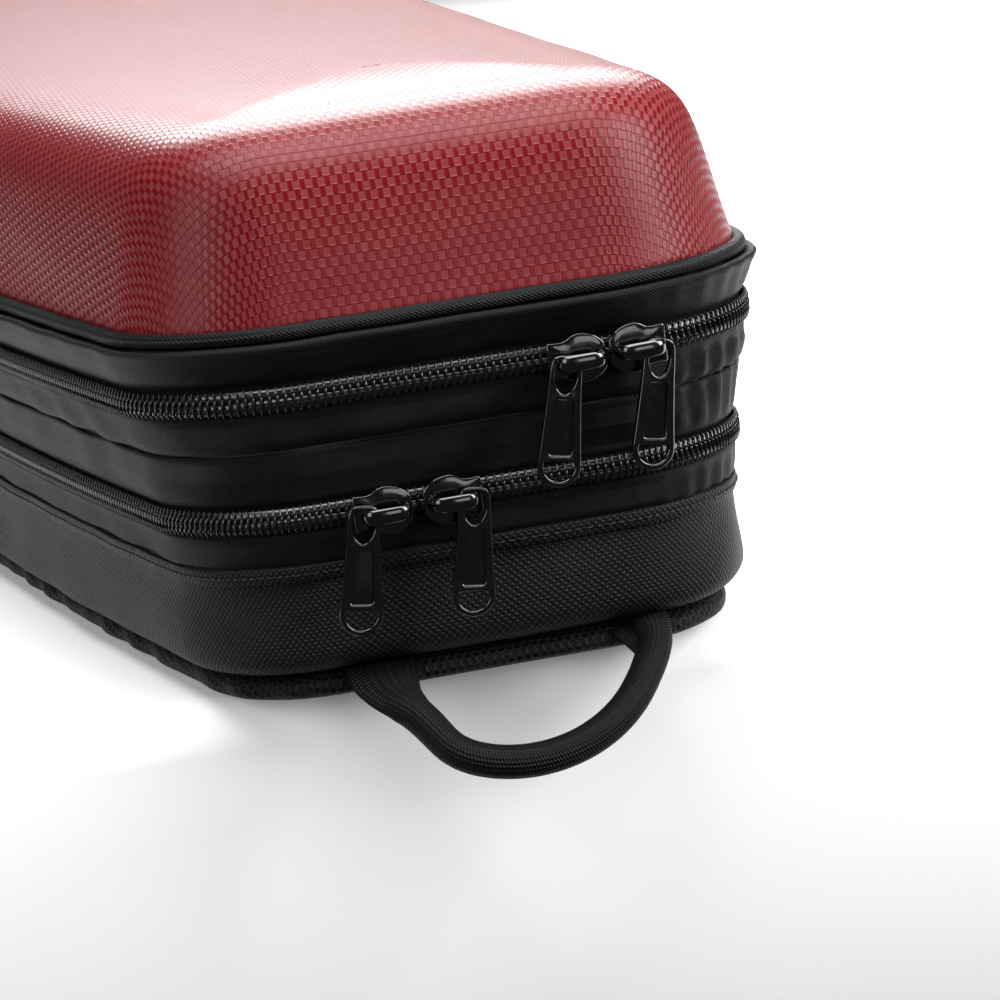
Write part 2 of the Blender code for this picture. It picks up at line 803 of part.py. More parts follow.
def pull_curve():
    """Pull in its own frame: its eye round the origin, hanging along -Y."""
    top = PULL_TOP / 2
    low = PULL_BOTTOM / 2
    end = -PULL_LENGTH + top * 0.8
    body = [
        (0, 3.5 * MM),
        (top * 0.75, 2.6 * MM),
        (top, 0.2 * MM),
        (top * 1.06, -6 * MM),
        (low * 0.97, end * 0.75),
        (low, end + 4.4 * MM),
        (low * 0.72, end + 1 * MM),
        (0, end),
        (-low * 0.72, end + 1 * MM),
        (-low, end + 4.4 * MM),
        (-low * 0.97, end * 0.75),
        (-top * 1.06, -6 * MM),
        (-top, 0.2 * MM),
        (-top * 0.75, 2.6 * MM),
    ]
    eye = rounded_rect(
        (-PULL_EYE / 2, -PULL_EYE / 2), (PULL_EYE / 2, PULL_EYE / 2), 1.3 * MM, 2
    )
    window = rounded_rect(
        (-3.0 * MM, end + 2.8 * MM), (3.0 * MM, end + 11.5 * MM), 2.6 * MM, 3
    )
    return flat_curve(
        "zip_pull", [(True, body), (False, eye), (False, window)], PULL_THICK, 2
    )


def face_matrix(place, outward, nose_along):
    """Frame of a slider: X along the zip to the nose, Z out of the wall."""
    out = Vector((outward[0], outward[1], 0)).normalized()
    nose = Vector((nose_along[0], nose_along[1], 0)).normalized()
    up = out.cross(nose)
    turn = Matrix((nose, up, out)).transposed().to_4x4()
    return Matrix.Translation(place) @ turn


def slider_places():
    """Each slider: its name, its middle on the coil's face, outward way and nose way."""
    face = CASE_LENGTH / 2
    half = SLIDER_LENGTH / 2 + SLIDER_NOSE_GAP / 2
    corner = corner_centres()[0]
    flat = corner[1]
    turn = (UPPER_PAIR_Y + half - flat) / END_RADIUS
    arc_out = (math.cos(turn), math.sin(turn))
    arc_place = corner + END_RADIUS * np.array(arc_out)
    along = (-arc_out[1], arc_out[0])
    low = face + LOWER_COIL
    return {
        "lid_left": ((face, UPPER_PAIR_Y - half, UPPER_ZIP_Z), (1, 0), (0, 1)),
        "lid_right": (
            (arc_place[0], arc_place[1], UPPER_ZIP_Z),
            arc_out,
            (-along[0], -along[1]),
        ),
        "base_left": ((low, LOWER_PAIR_Y - half, LOWER_ZIP_Z), (1, 0), (0, 1)),
        "base_right": ((low, LOWER_PAIR_Y + half, LOWER_ZIP_Z), (1, 0), (0, -1)),
    }


def build_sliders(where, tools):
    """Four sliders and their pulls, each pull's origin on its hinge in the bail."""
    pattern = slider_mesh(tools)
    made = []
    for name, (place, outward, nose) in slider_places().items():
        frame = face_matrix(place, outward, nose)
        slider = bpy.data.objects.new("slider_" + name, pattern.copy())
        slider.data.materials.clear()
        slider.data.materials.append(material("black_metal"))
        slider.matrix_world = frame
        where.objects.link(slider)
        eye = frame @ Vector((-leg_centre(), 0, PULL_OFF))
        across = (-outward[1], outward[0])
        # The eye's lower rim hangs below the leg, and the pull leans a little to one side.
        hang = face_matrix(eye, outward, across)
        lean = Matrix.Rotation(PULL_SKEW, 4, "Z")
        pull = to_mesh("pull_" + name, pull_curve(), "black_metal", where, hang @ lean)
        made += [slider, pull]
    return made


# ---------------------------------------------------------------- handles and rings


def swept(name, path, sections, stuff, where, caps=8):
    """Solid tube through the path; each section is (half width across, half thickness).

    Across lies in the plane of the path and thickness is along its normal.
    """
    path = np.array(path, float)
    ahead = np.gradient(path, axis=0)
    ahead /= np.linalg.norm(ahead, axis=1)[:, None]
    u = path[-1] - path[0]
    v = path[len(path) // 2] - (path[0] + path[-1]) / 2
    normal = np.cross(u, v)
    normal /= np.linalg.norm(normal)
    angles = np.linspace(0, 2 * math.pi, caps + 1)[:-1]
    rows = []
    for point, way, (wide, thick) in zip(path, ahead, sections):
        across = np.cross(normal, way)
        across /= np.linalg.norm(across)
        ring = [
            point + wide * math.cos(a) * across + thick * math.sin(a) * normal for a in angles
        ]
        rows.append(np.array(ring))
    faces = stack_faces(caps, len(rows), False)
    faces.append(tuple(range(caps)))
    faces.append(tuple(range((len(rows) - 1) * caps, len(rows) * caps)))
    return add_object(name, mesh_from(name, np.vstack(rows), faces), stuff, where)


def loop_hinge():
    """Middle of the end loop's hinge line in the seam."""
    seam = CASE_LENGTH / 2 + BODY_SEAM + 3.5 * MM
    return np.array([seam, LOOP_CENTRE_Y, SEAM_Z - 1.5 * MM])


def loop_rows():
    """Rows down one side of the end loop: degrees round its half ellipse, half width and
    half thickness. The broad flat end rolls up into the round grip.
    """
    broad = LOOP_FLARE / 2
    return [
        (2, broad, 1.3 * MM),
        (12, 0.9 * broad, 1.9 * MM),
        (20, 0.7 * broad, 3.3 * MM),
        (29, 1.12 * LOOP_RADIUS, 0.95 * LOOP_RADIUS),
        (44, LOOP_RADIUS, LOOP_RADIUS),
        (60, LOOP_RADIUS, LOOP_RADIUS),
        (76, LOOP_RADIUS, LOOP_RADIUS),
    ]


def build_end_loop(where):
    """Loop of rolled webbing that hangs outwards from the seam."""
    down = np.array([math.sin(LOOP_SLANT), 0, -math.cos(LOOP_SLANT)])
    drop = LOOP_DROP - LOOP_RADIUS
    one = loop_rows()
    rows = [(180 - angle, wide, thick) for angle, wide, thick in one]
    rows += [(90, LOOP_RADIUS, LOOP_RADIUS)] + one[::-1]
    path = []
    for angle, _, _ in rows:
        fall = math.sin(math.radians(angle))
        side = LOOP_SPAN / 2 * math.cos(math.radians(angle)) + LOOP_SKEW * fall
        path.append(loop_hinge() + np.array([0, side, 0]) + drop * fall * down)
    sections = [(wide, thick) for _, wide, thick in rows]
    return swept("end_loop", path, sections, "webbing", where)


def carry_angle():
    """Angle of the front arc's normal where the carry handle sits."""
    middle = front_centre()
    across = (CARRY_X - middle[0]) / SIDE_RADIUS
    return -math.acos(across)


def carry_frame():
    """Hinge middle, outward way and along way of the carry handle."""
    place, normal = side_frame(carry_angle(), CARRY_Z, BODY_WALL + 3.2 * MM)
    along = np.array([-normal[1], normal[0]])
    return place, np.array([*normal, 0.0]), np.array([*along, 0.0])


def build_carry_handle(where):
    """Padded grip between two webbing arms, and the two anchors on the wall."""
    place, out, along = carry_frame()
    lean = math.asin((CARRY_GRIP + 1.2 * MM - 3.2 * MM) / CARRY_ARM)
    down = math.sin(lean) * out - math.cos(lean) * np.array([0, 0, 1.0])
    half = CARRY_SPAN / 2
    right = [
        (half, 1.6 * MM, 9 * MM, 1.2 * MM),
        (half, 0.35 * CARRY_ARM, 8.4 * MM, 1.8 * MM),
        (half - 11 * MM, 0.72 * CARRY_ARM, 7 * MM, 3.2 * MM),
        (half - 22 * MM, 0.95 * CARRY_ARM, 0.92 * CARRY_GRIP, CARRY_GRIP * 0.85),
        (half - 40 * MM, CARRY_ARM, CARRY_GRIP, CARRY_GRIP),
    ]
    rows = [(-u, v, w, t) for u, v, w, t in right]
    rows += [(0, CARRY_ARM, CARRY_GRIP, CARRY_GRIP)]
    rows += list(reversed(right))
    path = [place + u * along + v * down for u, v, _, _ in rows]
    grip = swept("carry_handle", path, [(w, t) for _, _, w, t in rows], "webbing", where)
    anchors = []
    for name, side in (("bout", 1), ("scroll", -1)):
        angle = carry_angle() - side * half / SIDE_RADIUS
        spot, normal = side_frame(angle, CARRY_Z, BODY_WALL + SKIN_GAP)
        turned = face_matrix(spot, normal, (-normal[1], normal[0]))
        patch = box(
            "carry_anchor_" + name,
            (-11 * MM, -0.5 * MM, 0.12 * MM),
            (11 * MM, 2.6 * MM, 2.2 * MM),
            "webbing",
            where,
        )
        patch.matrix_world = turned
        anchors.append(patch)
    return grip, anchors


def build_ring(name, x, where):
    """Strap ring hanging from a webbing tab on the hinged side."""
    wall = END_WIDTH / 2 + BODY_WALL
    centre_y = wall + SKIN_GAP + 2.6 * MM + RING_WIRE
    tab_half = RING_WIDE / 2 - 2.6 * MM
    tab = box(
        "ring_tab_" + name,
        (x - tab_half, wall + SKIN_GAP, RING_Z + RING_WIRE + 0.4 * MM),
        (x + tab_half, wall + SKIN_GAP + 2.6 * MM, RING_Z + 6 * MM),
        "webbing",
        where,
    )
    half = RING_WIDE / 2 - RING_WIRE
    drop = RING_TALL - 2 * RING_WIRE
    curve = bpy.data.curves.new("ring_" + name, "CURVE")
    curve.dimensions = "3D"
    curve.bevel_depth = RING_WIRE
    curve.bevel_resolution = 1
    curve.resolution_u = 1
    spline = curve.splines.new("POLY")
    points = [(-half, 0), (half, 0), (half, -0.35 * drop)]
    points += [
        (half * math.cos(a), -0.35 * drop - 0.65 * drop * math.sin(a))
        for a in np.linspace(0, math.pi, 9)[1:-1]
    ]
    points.append((-half, -0.35 * drop))
    spline.points.add(len(points) - 1)
    for knot, (u, v) in zip(spline.points, points):
        knot.co = (u, 0, v, 1)
    spline.use_cyclic_u = True
    ring = add_object("ring_" + name, curve, "black_metal", where)
    ring.location = (x, centre_y, RING_Z)
    return tab, ring


# ---------------------------------------------------------------- inside


def well_outline():
    """Violin-shaped well with its neck channel, as smooth points round it.

    The body's points are (length from the tail, share of the half width).
    """
    body = [
        (2, 0.36),
        (22, 0.77),
        (62, 1.0),
        (100, 0.97),
        (140, 0.755),
        (178, 0.585),
        (215, 0.62),
        (250, 0.79),
        (285, 0.83),
        (322, 0.715),
        (350, 0.45),
    ]
    side = [(WELL_TAIL_X + x * MM, share * WELL_HALF) for x, share in body]
    side += [
        (WELL_TAIL_X + WELL_BODY, NECK_HALF + 4 * MM),
        (WELL_TAIL_X + WELL_BODY + 52 * MM, NECK_HALF),
        (NECK_END - 17 * MM, NECK_HALF + 2 * MM),
        (NECK_END, NECK_HALF - 7 * MM),
    ]
    points = [(x, WELL_Y + y) for x, y in side]
    points += [(x, WELL_Y - y) for x, y in reversed(side)]
    return points


def build_bed(where):
    """Foam bed with the violin well, the accessory box and the end tray cut through it."""
    floor = SEAM_Z + SKIN_GAP + FLOOR_THICK
    bottom = floor + SKIN_GAP
    edge = loop_at(base_inner() - BED_CLEAR, 0.0)[:, :2]
    outlines = [
        (False, [tuple(p) for p in edge]),
        (True, well_outline()),
        (False, rounded_rect((BOX_X[0], BOX_Y[0]), (BOX_X[1], BOX_Y[1]), 8 * MM)),
        (False, rounded_rect((TRAY_X[0], TRAY_Y[0]), (TRAY_X[1], TRAY_Y[1]), 14 * MM)),
    ]
    curve = flat_curve("foam_bed", outlines, BED_TOP_Z - bottom, 3)
    place = Matrix.Translation((0, 0, (BED_TOP_Z + bottom) / 2))
    return to_mesh("foam_bed", curve, "plush_lining", where, place)


def box_lid_hinge():
    """Hinge point of the accessory box's lid."""
    return np.array([sum(BOX_X) / 2, BOX_Y[1] + 1 * MM, BED_TOP_Z + 1.8 * MM])


def build_box_lid(where):
    """Stiff padded lid of the accessory box, with its origin on its hinge."""
    hinge = box_lid_hinge()
    low = (BOX_X[0] - 3 * MM - hinge[0], BOX_Y[0] - 2 * MM - hinge[1])
    high = (BOX_X[1] + 3 * MM - hinge[0], 0.0)
    curve = flat_curve(
        "box_lid", [(False, rounded_rect(low, high, 6 * MM))], BOX_LID_THICK, 3
    )
    return to_mesh("box_lid", curve, "plush_lining", where, Matrix.Translation(hinge))


def strap_hinge():
    """Hinge point of the neck strap."""
    return np.array([STRAP_X, WELL_Y + 27 * MM, BED_TOP_Z + 1.4 * MM])


def build_strap(where):
    """Ribbon across the neck channel, with its origin on its sewn edge."""
    hinge = strap_hinge()
    half = STRAP_WIDE / 2
    low = (-half, -STRAP_LONG)
    high = (half, 0.0)
    curve = flat_curve(
        "neck_strap", [(False, rounded_rect(low, high, 4 * MM))], STRAP_THICK, 3
    )
    return to_mesh("neck_strap", curve, "webbing", where, Matrix.Translation(hinge))


def panel_underside():
    """Height of the inner panel's flat underside."""
    return PANEL_TOP_Z - PANEL_THICK - 1 * MM


def build_bow_holders(where, tools):
    """Turning toggles and tip pockets that hold two bows under the inner panel."""
    made = []
    top = panel_underside() - 1.2 * MM
    for name, y in zip(("front", "rear"), TOGGLE_Y):
        points = rounded_rect((-6 * MM, -17 * MM), (6 * MM, 17 * MM), 5 * MM)
        curve = flat_curve("bow_toggle_" + name, [(False, points)], 5 * MM, 3)
        place = Matrix.Translation((TOGGLE_X, y, top - 2.5 * MM))
        made.append(
            to_mesh("bow_toggle_" + name, curve, "plush_lining", where, place)
        )
    for name, y in zip(("front", "rear"), TIP_Y):
        pocket = box(
            "bow_pocket_" + name,
            (TIP_X, y - TIP_WIDE / 2, top - TIP_TALL),
            (TIP_X + TIP_DEEP, y + TIP_WIDE / 2, top),
            "plush_lining",
            where,
        )
        cut = pocket.modifiers.new("mouth", "BOOLEAN")
        cut.solver = "EXACT"
        cut.object = box(
            "bow_mouth_" + name,
            (TIP_X - 4 * MM, y - TIP_WIDE / 2 + TIP_WALL, top - TIP_TALL + TIP_WALL),
            (TIP_X + TIP_DEEP - TIP_WALL, y + TIP_WIDE / 2 - TIP_WALL, top - TIP_WALL),
            "plush_lining",
            tools,
        )
        hide(cut.object)
        made.append(pocket)
    return made


# ---------------------------------------------------------------- whole case


def main():
    clear_scene()
    case = new_collection("violin_case")
    tools = new_collection("cutters", hidden=True)
    build_base_shell(case)
    build_mesh_pad(case)
    build_hem(case)
    build_base_zip(case)
    build_bed(case)

    frame_hinge = pivot(
        "frame_axis", (0, END_WIDTH / 2 + LOWER_COIL + HINGE_PROUD, LOWER_ZIP_Z), case
    )
    lid_hinge = pivot(
        "lid_axis", (0, END_WIDTH / 2 + UPPER_COIL + HINGE_PROUD, UPPER_ZIP_Z), case
    )
    middle = [build_middle_frame(case), build_panel(case), *build_middle_zip(case)]
    middle += build_bow_holders(case, tools)
    hang_on(frame_hinge, *middle)
    hang_on(lid_hinge, build_lid_shell(case), *build_lid_zip(case))

    build_sliders(case, tools)
    loop = build_end_loop(case)
    hang_on(pivot("end_loop_axis", loop_hinge(), case), loop)
    grip, _ = build_carry_handle(case)
    hang_on(pivot("carry_axis", carry_frame()[0], case), grip)
    build_ring("scroll", RING_X, case)
    build_ring("bout", -RING_X, case)
    build_box_lid(case)
    build_strap(case)


main()
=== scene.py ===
"""Looks of a half-moon violin case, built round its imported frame.

Every cloth skin is a profile of (offset, height) pairs carried round the plan of the case.
The plan is walked by its run: the length along it from the middle of the scroll end.
"""

import json
import math
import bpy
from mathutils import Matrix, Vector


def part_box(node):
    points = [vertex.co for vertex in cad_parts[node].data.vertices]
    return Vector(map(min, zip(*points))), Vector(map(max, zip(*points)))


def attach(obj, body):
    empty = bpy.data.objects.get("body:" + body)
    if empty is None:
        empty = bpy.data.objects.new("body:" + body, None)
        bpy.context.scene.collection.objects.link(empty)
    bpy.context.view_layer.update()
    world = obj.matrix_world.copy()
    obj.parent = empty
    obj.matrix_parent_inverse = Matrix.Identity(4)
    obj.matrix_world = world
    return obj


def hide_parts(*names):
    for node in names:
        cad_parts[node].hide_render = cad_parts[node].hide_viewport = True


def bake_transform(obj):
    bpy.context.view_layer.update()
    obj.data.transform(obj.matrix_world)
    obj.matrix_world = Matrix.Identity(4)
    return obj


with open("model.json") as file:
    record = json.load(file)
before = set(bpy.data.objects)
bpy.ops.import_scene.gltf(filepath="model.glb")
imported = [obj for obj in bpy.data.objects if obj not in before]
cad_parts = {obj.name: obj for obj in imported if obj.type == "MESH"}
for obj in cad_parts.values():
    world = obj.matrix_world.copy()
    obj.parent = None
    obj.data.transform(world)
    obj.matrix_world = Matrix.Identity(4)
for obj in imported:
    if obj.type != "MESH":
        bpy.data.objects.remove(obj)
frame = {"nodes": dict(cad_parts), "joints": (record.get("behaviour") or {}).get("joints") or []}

from types import SimpleNamespace

import bmesh
import bpy
import numpy as np
from mathutils import Matrix, Vector

bl_info = {
    "name": "Violin Case",
    "version": (1, 0, 0),
    "blender": (4, 5, 0),
    "location": "View3D > Sidebar > Violin Case",
    "description": "Builds the cloth, zips, handles and lining of a half-moon violin case",
    "category": "Add Mesh",
}

MM = 0.001
TURN = 2 * math.pi
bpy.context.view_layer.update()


def level(node, top):
    """Height of a node's top or bottom."""
    low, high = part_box(node)
    return high.z if top else low.z


CHAIN_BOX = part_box("middle_zip_chain_upper")
CHAIN_SPLIT = 0.2 * MM


def to_linear(code):
    """Linear colour of an sRGB hex code."""
    parts = np.array([int(code[k : k + 2], 16) for k in (1, 3, 5)]) / 255
    flat = np.where(parts <= 0.04045, parts / 12.92, ((parts + 0.055) / 1.055) ** 2.4)
    return tuple(float(part) for part in flat)


def length(name, description, default):
    """Property for a length in metres."""
    return bpy.props.FloatProperty(
        name=name, description=description, default=float(default), unit="LENGTH", precision=5
    )


def colour(name, description, code):
    """Property for a colour, from its sRGB hex code."""
    return bpy.props.FloatVectorProperty(
        name=name,
        description=description,
        default=to_linear(code),
        subtype="COLOR",
        size=3,
        min=0.0,
        max=1.0,
    )


class CaseSizes(bpy.types.PropertyGroup):
    """Sizes of the case's plan and the heights of its rows of cloth."""

    long: length("Length", "Length at the upper zip", CHAIN_BOX[1].x - CHAIN_BOX[0].x)
    bout: length("Bout width", "Width at the broad end", CHAIN_BOX[1].y - CHAIN_BOX[0].y)
    end: length("End width", "Width at the scroll end", 2 * CHAIN_BOX[1].y)
    end_radius: length("End radius", "Corner radius at the scroll end", 51 * MM)
    bout_radius: length("Bout radius", "Corner radius at the broad end", 80 * MM)
    side_radius: length("Side radius", "Radius of the long opening side", 2.6)
    seam_z: length("Back seam", "Height of the back seam", level("mesh_back_pad", True))
    hem_z: length("Hem", "Top of the body's hem", level("body_hem", True))
    lower_z: length("Lower zip", "Lower zip", level("base_zip_chain", True) + CHAIN_SPLIT)
    mid_z: length("Middle seam", "Seam between the zips", level("middle_tape_lower", True))
    upper_z: length("Upper zip", "Upper zip", CHAIN_BOX[1].z + CHAIN_SPLIT)
    fold_z: length("Fold", "Fold of the top tape", level("lid_zip_tape", True))
    welt_z: length("Piping", "Middle of the piping", sum(c.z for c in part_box("lid_piping")) / 2)
    top_z: length("Lid top", "Crown of the lid", level("lid_shell", True))
    crown: length("Crown", "Rise of the lid's crown", 4 * MM)
    bed_z: length("Bed", "Top of the foam bed", level("foam_bed", True))


class ZipSizes(bpy.types.PropertyGroup):
    """Sizes of the coil zips."""

    pitch: length("Pitch", "Length of zip for each coil turn", 2.2 * MM)
    half: length("Half width", "Half width of the closed chain", 4 * MM)
    thick: length("Thickness", "Thickness of the coil", 2.4 * MM)
    wire: length("Wire", "Radius of the coil's monofilament", 0.46 * MM)
    lower: length("Lower set-back", "How far the lower coil lies behind the upper", 6.5 * MM)


class CaseColours(bpy.types.PropertyGroup):
    """Colours of the case."""

    # The weft colour is partly a painted highlight: paler and lighter than the tape's own red.
    weft: colour("Red weft", "Broad tapes of the lid's cloth", "#6f2b2d")
    warp: colour("Red warp", "Narrow tapes of the lid's cloth", "#5c0308")
    nylon: colour("Body nylon", "Ballistic nylon", "#0c0f11")
    tape: colour("Zip tape", "Herringbone tape", "#070909")
    webbing: colour("Webbing", "Nylon webbing", "#060809")
    metal: colour("Zip metal", "Lacquered sliders and pulls", "#020202")
    lining: colour("Lining", "Plush lining", "#4c4d52")


# ---------------------------------------------------------------- materials


def add_node(tree, kind, feeds=(), out=0, **settings):
    """Add one node, set it up, feed its inputs in order or by name, and give an output."""
    node = tree.nodes.new("ShaderNode" + kind)
    for key, value in settings.items():
        setattr(node, key, value)
    pairs = feeds.items() if isinstance(feeds, dict) else enumerate(feeds)
    for slot, feed in pairs:
        if isinstance(feed, bpy.types.NodeSocket):
            tree.links.new(feed, node.inputs[slot])
        elif feed is not None:
            node.inputs[slot].default_value = feed
    return node.outputs[out]


def start_material(name, rough, **constants):
    """A Principled material; constants go on the shader's own sockets."""
    made = bpy.data.materials.new(name)
    made.use_nodes = True
    shader = made.node_tree.nodes["Principled BSDF"]
    shader.inputs["Roughness"].default_value = rough
    for key, value in constants.items():
        shader.inputs[key.replace("_", " ")].default_value = value
    return made, made.node_tree, shader


def surface_mm(tree):
    """The piece's own UV map, which holds millimetres of cloth, as (u, v) outputs."""
    uv = add_node(tree, "UVMap", uv_map="cloth")
    return add_node(tree, "SeparateXYZ", [uv]).node.outputs[:2]


def paint(tree, shader, mask, low, high, spread=0.0, grain=0.0):
    """Colour between low and high by the mask, with a slow cloudy change over the cloth."""
    mixed = add_node(tree, "Mix", {0: mask, 6: (*low, 1), 7: (*high, 1)}, 2, data_type="RGBA")
    if spread:
        place = add_node(tree, "TexCoord", out=3)
        cloud = add_node(tree, "TexNoise", {0: place, 2: grain, 3: 3.0})
        amount = add_node(tree, "MapRange", [cloud, 0.3, 0.7, 1 - spread, 1 + spread])
        mixed = add_node(
            tree, "Mix", {0: 1.0, 6: mixed, 7: amount}, 2, data_type="RGBA", blend_type="MULTIPLY"
        )
    tree.links.new(mixed, shader.inputs["Base Color"])


def emboss(tree, shader, height, deep, strength=1.0):
    """Bump of this depth in metres."""
    bump = add_node(tree, "Bump", {"Strength": strength, "Distance": deep, "Height": height})
    tree.links.new(bump, shader.inputs["Normal"])


def wave(tree, value, pitch):
    """Sine of a value in millimetres that repeats every pitch."""
    turned = add_node(tree, "Math", [value, TURN / pitch], operation="MULTIPLY")
    return add_node(tree, "Math", [turned], operation="SINE")


def shades(base, low, high):
    """Dark and light shade of a colour, each a multiple of it."""
    return tuple(low * part for part in base), tuple(high * part for part in base)


def red_tape_cloth(colours):
    """Cloth woven from flat coated polypropylene tapes, 2.3 mm weft and 1.1 mm warp.

    The coating is glossy, so each float has its own highlight; rows are offset like bricks.
    """
    made, tree, shader = start_material(
        "Coated tape cloth, plain woven", 0.36, Specular_IOR_Level=0.18
    )
    row_tall, cell_long, weft_middle, warp_middle = 2.7, 3.4, 0.34, 0.84
    u, v = surface_mm(tree)
    rows = add_node(tree, "Math", [v, 1 / row_tall], operation="MULTIPLY")
    row = add_node(tree, "Math", [rows], operation="FLOOR")
    high = add_node(tree, "Math", [rows], operation="FRACT")
    brick = add_node(tree, "Math", [row, 0.5], operation="MULTIPLY")
    along = add_node(tree, "Math", [u, 1 / cell_long, brick], operation="MULTIPLY_ADD")
    cell = add_node(tree, "Math", [along], operation="FLOOR")
    wide = add_node(tree, "Math", [along], operation="FRACT")
    # Distance from the middle of the weft float, as a share of the cell.
    off = add_node(tree, "Math", [wide, weft_middle], operation="SUBTRACT")
    off = add_node(tree, "Math", [off], operation="ABSOLUTE")
    weft = add_node(tree, "MapRange", [off, 0.24, 0.34, 1.0, 0.0])
    tall = add_node(tree, "Math", [high, 0.5], operation="SUBTRACT")
    tall = add_node(tree, "Math", [tall], operation="ABSOLUTE")
    in_row = add_node(tree, "MapRange", [tall, 0.40, 0.49, 1.0, 0.0])
    float_mask = add_node(tree, "Math", [weft, in_row], operation="MULTIPLY")
    dome = add_node(tree, "Math", [off, off], operation="MULTIPLY")
    dome = add_node(tree, "Math", [dome, -2.4, 1.0], operation="MULTIPLY_ADD")
    ridge = add_node(tree, "Math", [wide, warp_middle], operation="SUBTRACT")
    ridge = add_node(tree, "Math", [ridge], operation="ABSOLUTE")
    ridge = add_node(tree, "MapRange", [ridge, 0.0, 0.17, 0.8, 0.15])
    height = add_node(tree, "Mix", [float_mask, ridge, dome])
    number = add_node(tree, "CombineXYZ", [cell, row, 0.0])
    chance = add_node(tree, "TexWhiteNoise", {0: number}, noise_dimensions="3D")
    vary = add_node(tree, "MapRange", [chance, 0.0, 1.0, 0.62, 1.0])
    mask = add_node(tree, "Math", [float_mask, vary], operation="MULTIPLY")
    # Each weft float's paler, lighter red is partly the tape's own colour and partly a painted
    # highlight; the floats also vary at random.
    paint(tree, shader, mask, colours.warp, colours.weft, 0.06, 9.0)
    rough = add_node(tree, "MapRange", [float_mask, 0.0, 1.0, 0.3, 0.38])
    tree.links.new(rough, shader.inputs["Roughness"])
    emboss(tree, shader, height, 0.16 * MM, 0.75)
    return made


def ballistic_nylon(colours):
    """Basket-woven ballistic nylon: fat glossy yarns every 1.05 mm, alternately over and under."""
    made, tree, shader = start_material(
        "Ballistic nylon, basket woven", 0.5, Specular_IOR_Level=0.18
    )
    u, v = surface_mm(tree)
    two_yarns = 2.1
    one = wave(tree, u, two_yarns)
    two = wave(tree, v, two_yarns)
    both = add_node(tree, "Math", [one, two], operation="MULTIPLY")
    lift = add_node(tree, "Math", [both], operation="ABSOLUTE")
    lift = add_node(tree, "Math", [lift, 0.6], operation="POWER")
    mask = add_node(tree, "MapRange", [both, -0.4, 0.6, 0.0, 1.0])
    paint(tree, shader, mask, *shades(colours.nylon, 0.45, 2.6), 0.12, 16.0)
    rough = add_node(tree, "MapRange", [both, -0.5, 0.7, 0.66, 0.42])
    tree.links.new(rough, shader.inputs["Roughness"])
    lift = add_node(tree, "Math", [lift, 0.4, mask], operation="MULTIPLY_ADD")
    emboss(tree, shader, lift, 0.26 * MM, 1.0)
    return made


def herringbone_tape(colours):
    """Woven polyester zip tape: fine ribs that turn back on themselves every 5.4 mm."""
    made, tree, shader = start_material(
        "Zip tape, herringbone woven", 0.55, Specular_IOR_Level=0.13
    )
    u, v = surface_mm(tree)
    turn_back, lean, rib_pitch, yarn_pitch = 5.4, 1.15, 1.0, 0.5
    fold = add_node(tree, "Math", [v, turn_back], operation="PINGPONG")
    slope = add_node(tree, "Math", [fold, lean, u], operation="MULTIPLY_ADD")
    rib = wave(tree, slope, rib_pitch)
    yarn = wave(tree, v, yarn_pitch)
    mixed = add_node(tree, "Math", [yarn, 0.25, rib], operation="MULTIPLY_ADD")
    mask = add_node(tree, "MapRange", [mixed, -0.9, 1.1, 0.0, 1.0])
    paint(tree, shader, mask, *shades(colours.tape, 0.5, 2.2), 0.18, 22.0)
    emboss(tree, shader, mask, 0.16 * MM, 0.9)
    return made


def ribbed_webbing(name, rib, colours):
    """Nylon webbing: ribs across its length, each broken into short floats."""
    made, tree, shader = start_material(name, 0.5, Specular_IOR_Level=0.13)
    u, v = surface_mm(tree)
    lean = add_node(tree, "Math", [v, 0.35, u], operation="MULTIPLY_ADD")
    ribs = wave(tree, lean, rib)
    ends = wave(tree, v, 1.5 * rib)
    both = add_node(tree, "Math", [ends, 0.8, ribs], operation="MULTIPLY_ADD")
    mask = add_node(tree, "MapRange", [both, -1.0, 1.3, 0.0, 1.0])
    paint(tree, shader, mask, *shades(colours.webbing, 0.4, 2.2), 0.12, 18.0)
    emboss(tree, shader, mask, 0.3 * MM, 1.0)
    return made


def piping_braid(colours):
    """Braid over the piping cord: slanted floats, in rows 1.5 mm apart round it, painted lighter
    and bluer as a highlight.
    """
    made, tree, shader = start_material("Piping braid, polyester", 0.5, Specular_IOR_Level=0.15)
    u, v = surface_mm(tree)
    turn_back, lean, float_pitch, row_pitch = 0.8, 1.6, 1.4, 1.5
    fold = add_node(tree, "Math", [v, turn_back], operation="PINGPONG")
    slope = add_node(tree, "Math", [fold, lean, u], operation="MULTIPLY_ADD")
    rib = wave(tree, slope, float_pitch)
    rows = wave(tree, v, row_pitch)
    both = add_node(tree, "Math", [rows, 0.4, rib], operation="MULTIPLY_ADD")
    mask = add_node(tree, "MapRange", [both, 0.1, 1.3, 0.0, 1.0])
    dark = tuple(0.35 * part for part in colours.tape)
    # Painted highlight: the floats take this lighter, bluish colour.
    light = (0.008, 0.011, 0.012)
    paint(tree, shader, mask, dark, light, 0.2, 30.0)
    emboss(tree, shader, both, 0.12 * MM, 0.8)
    return made


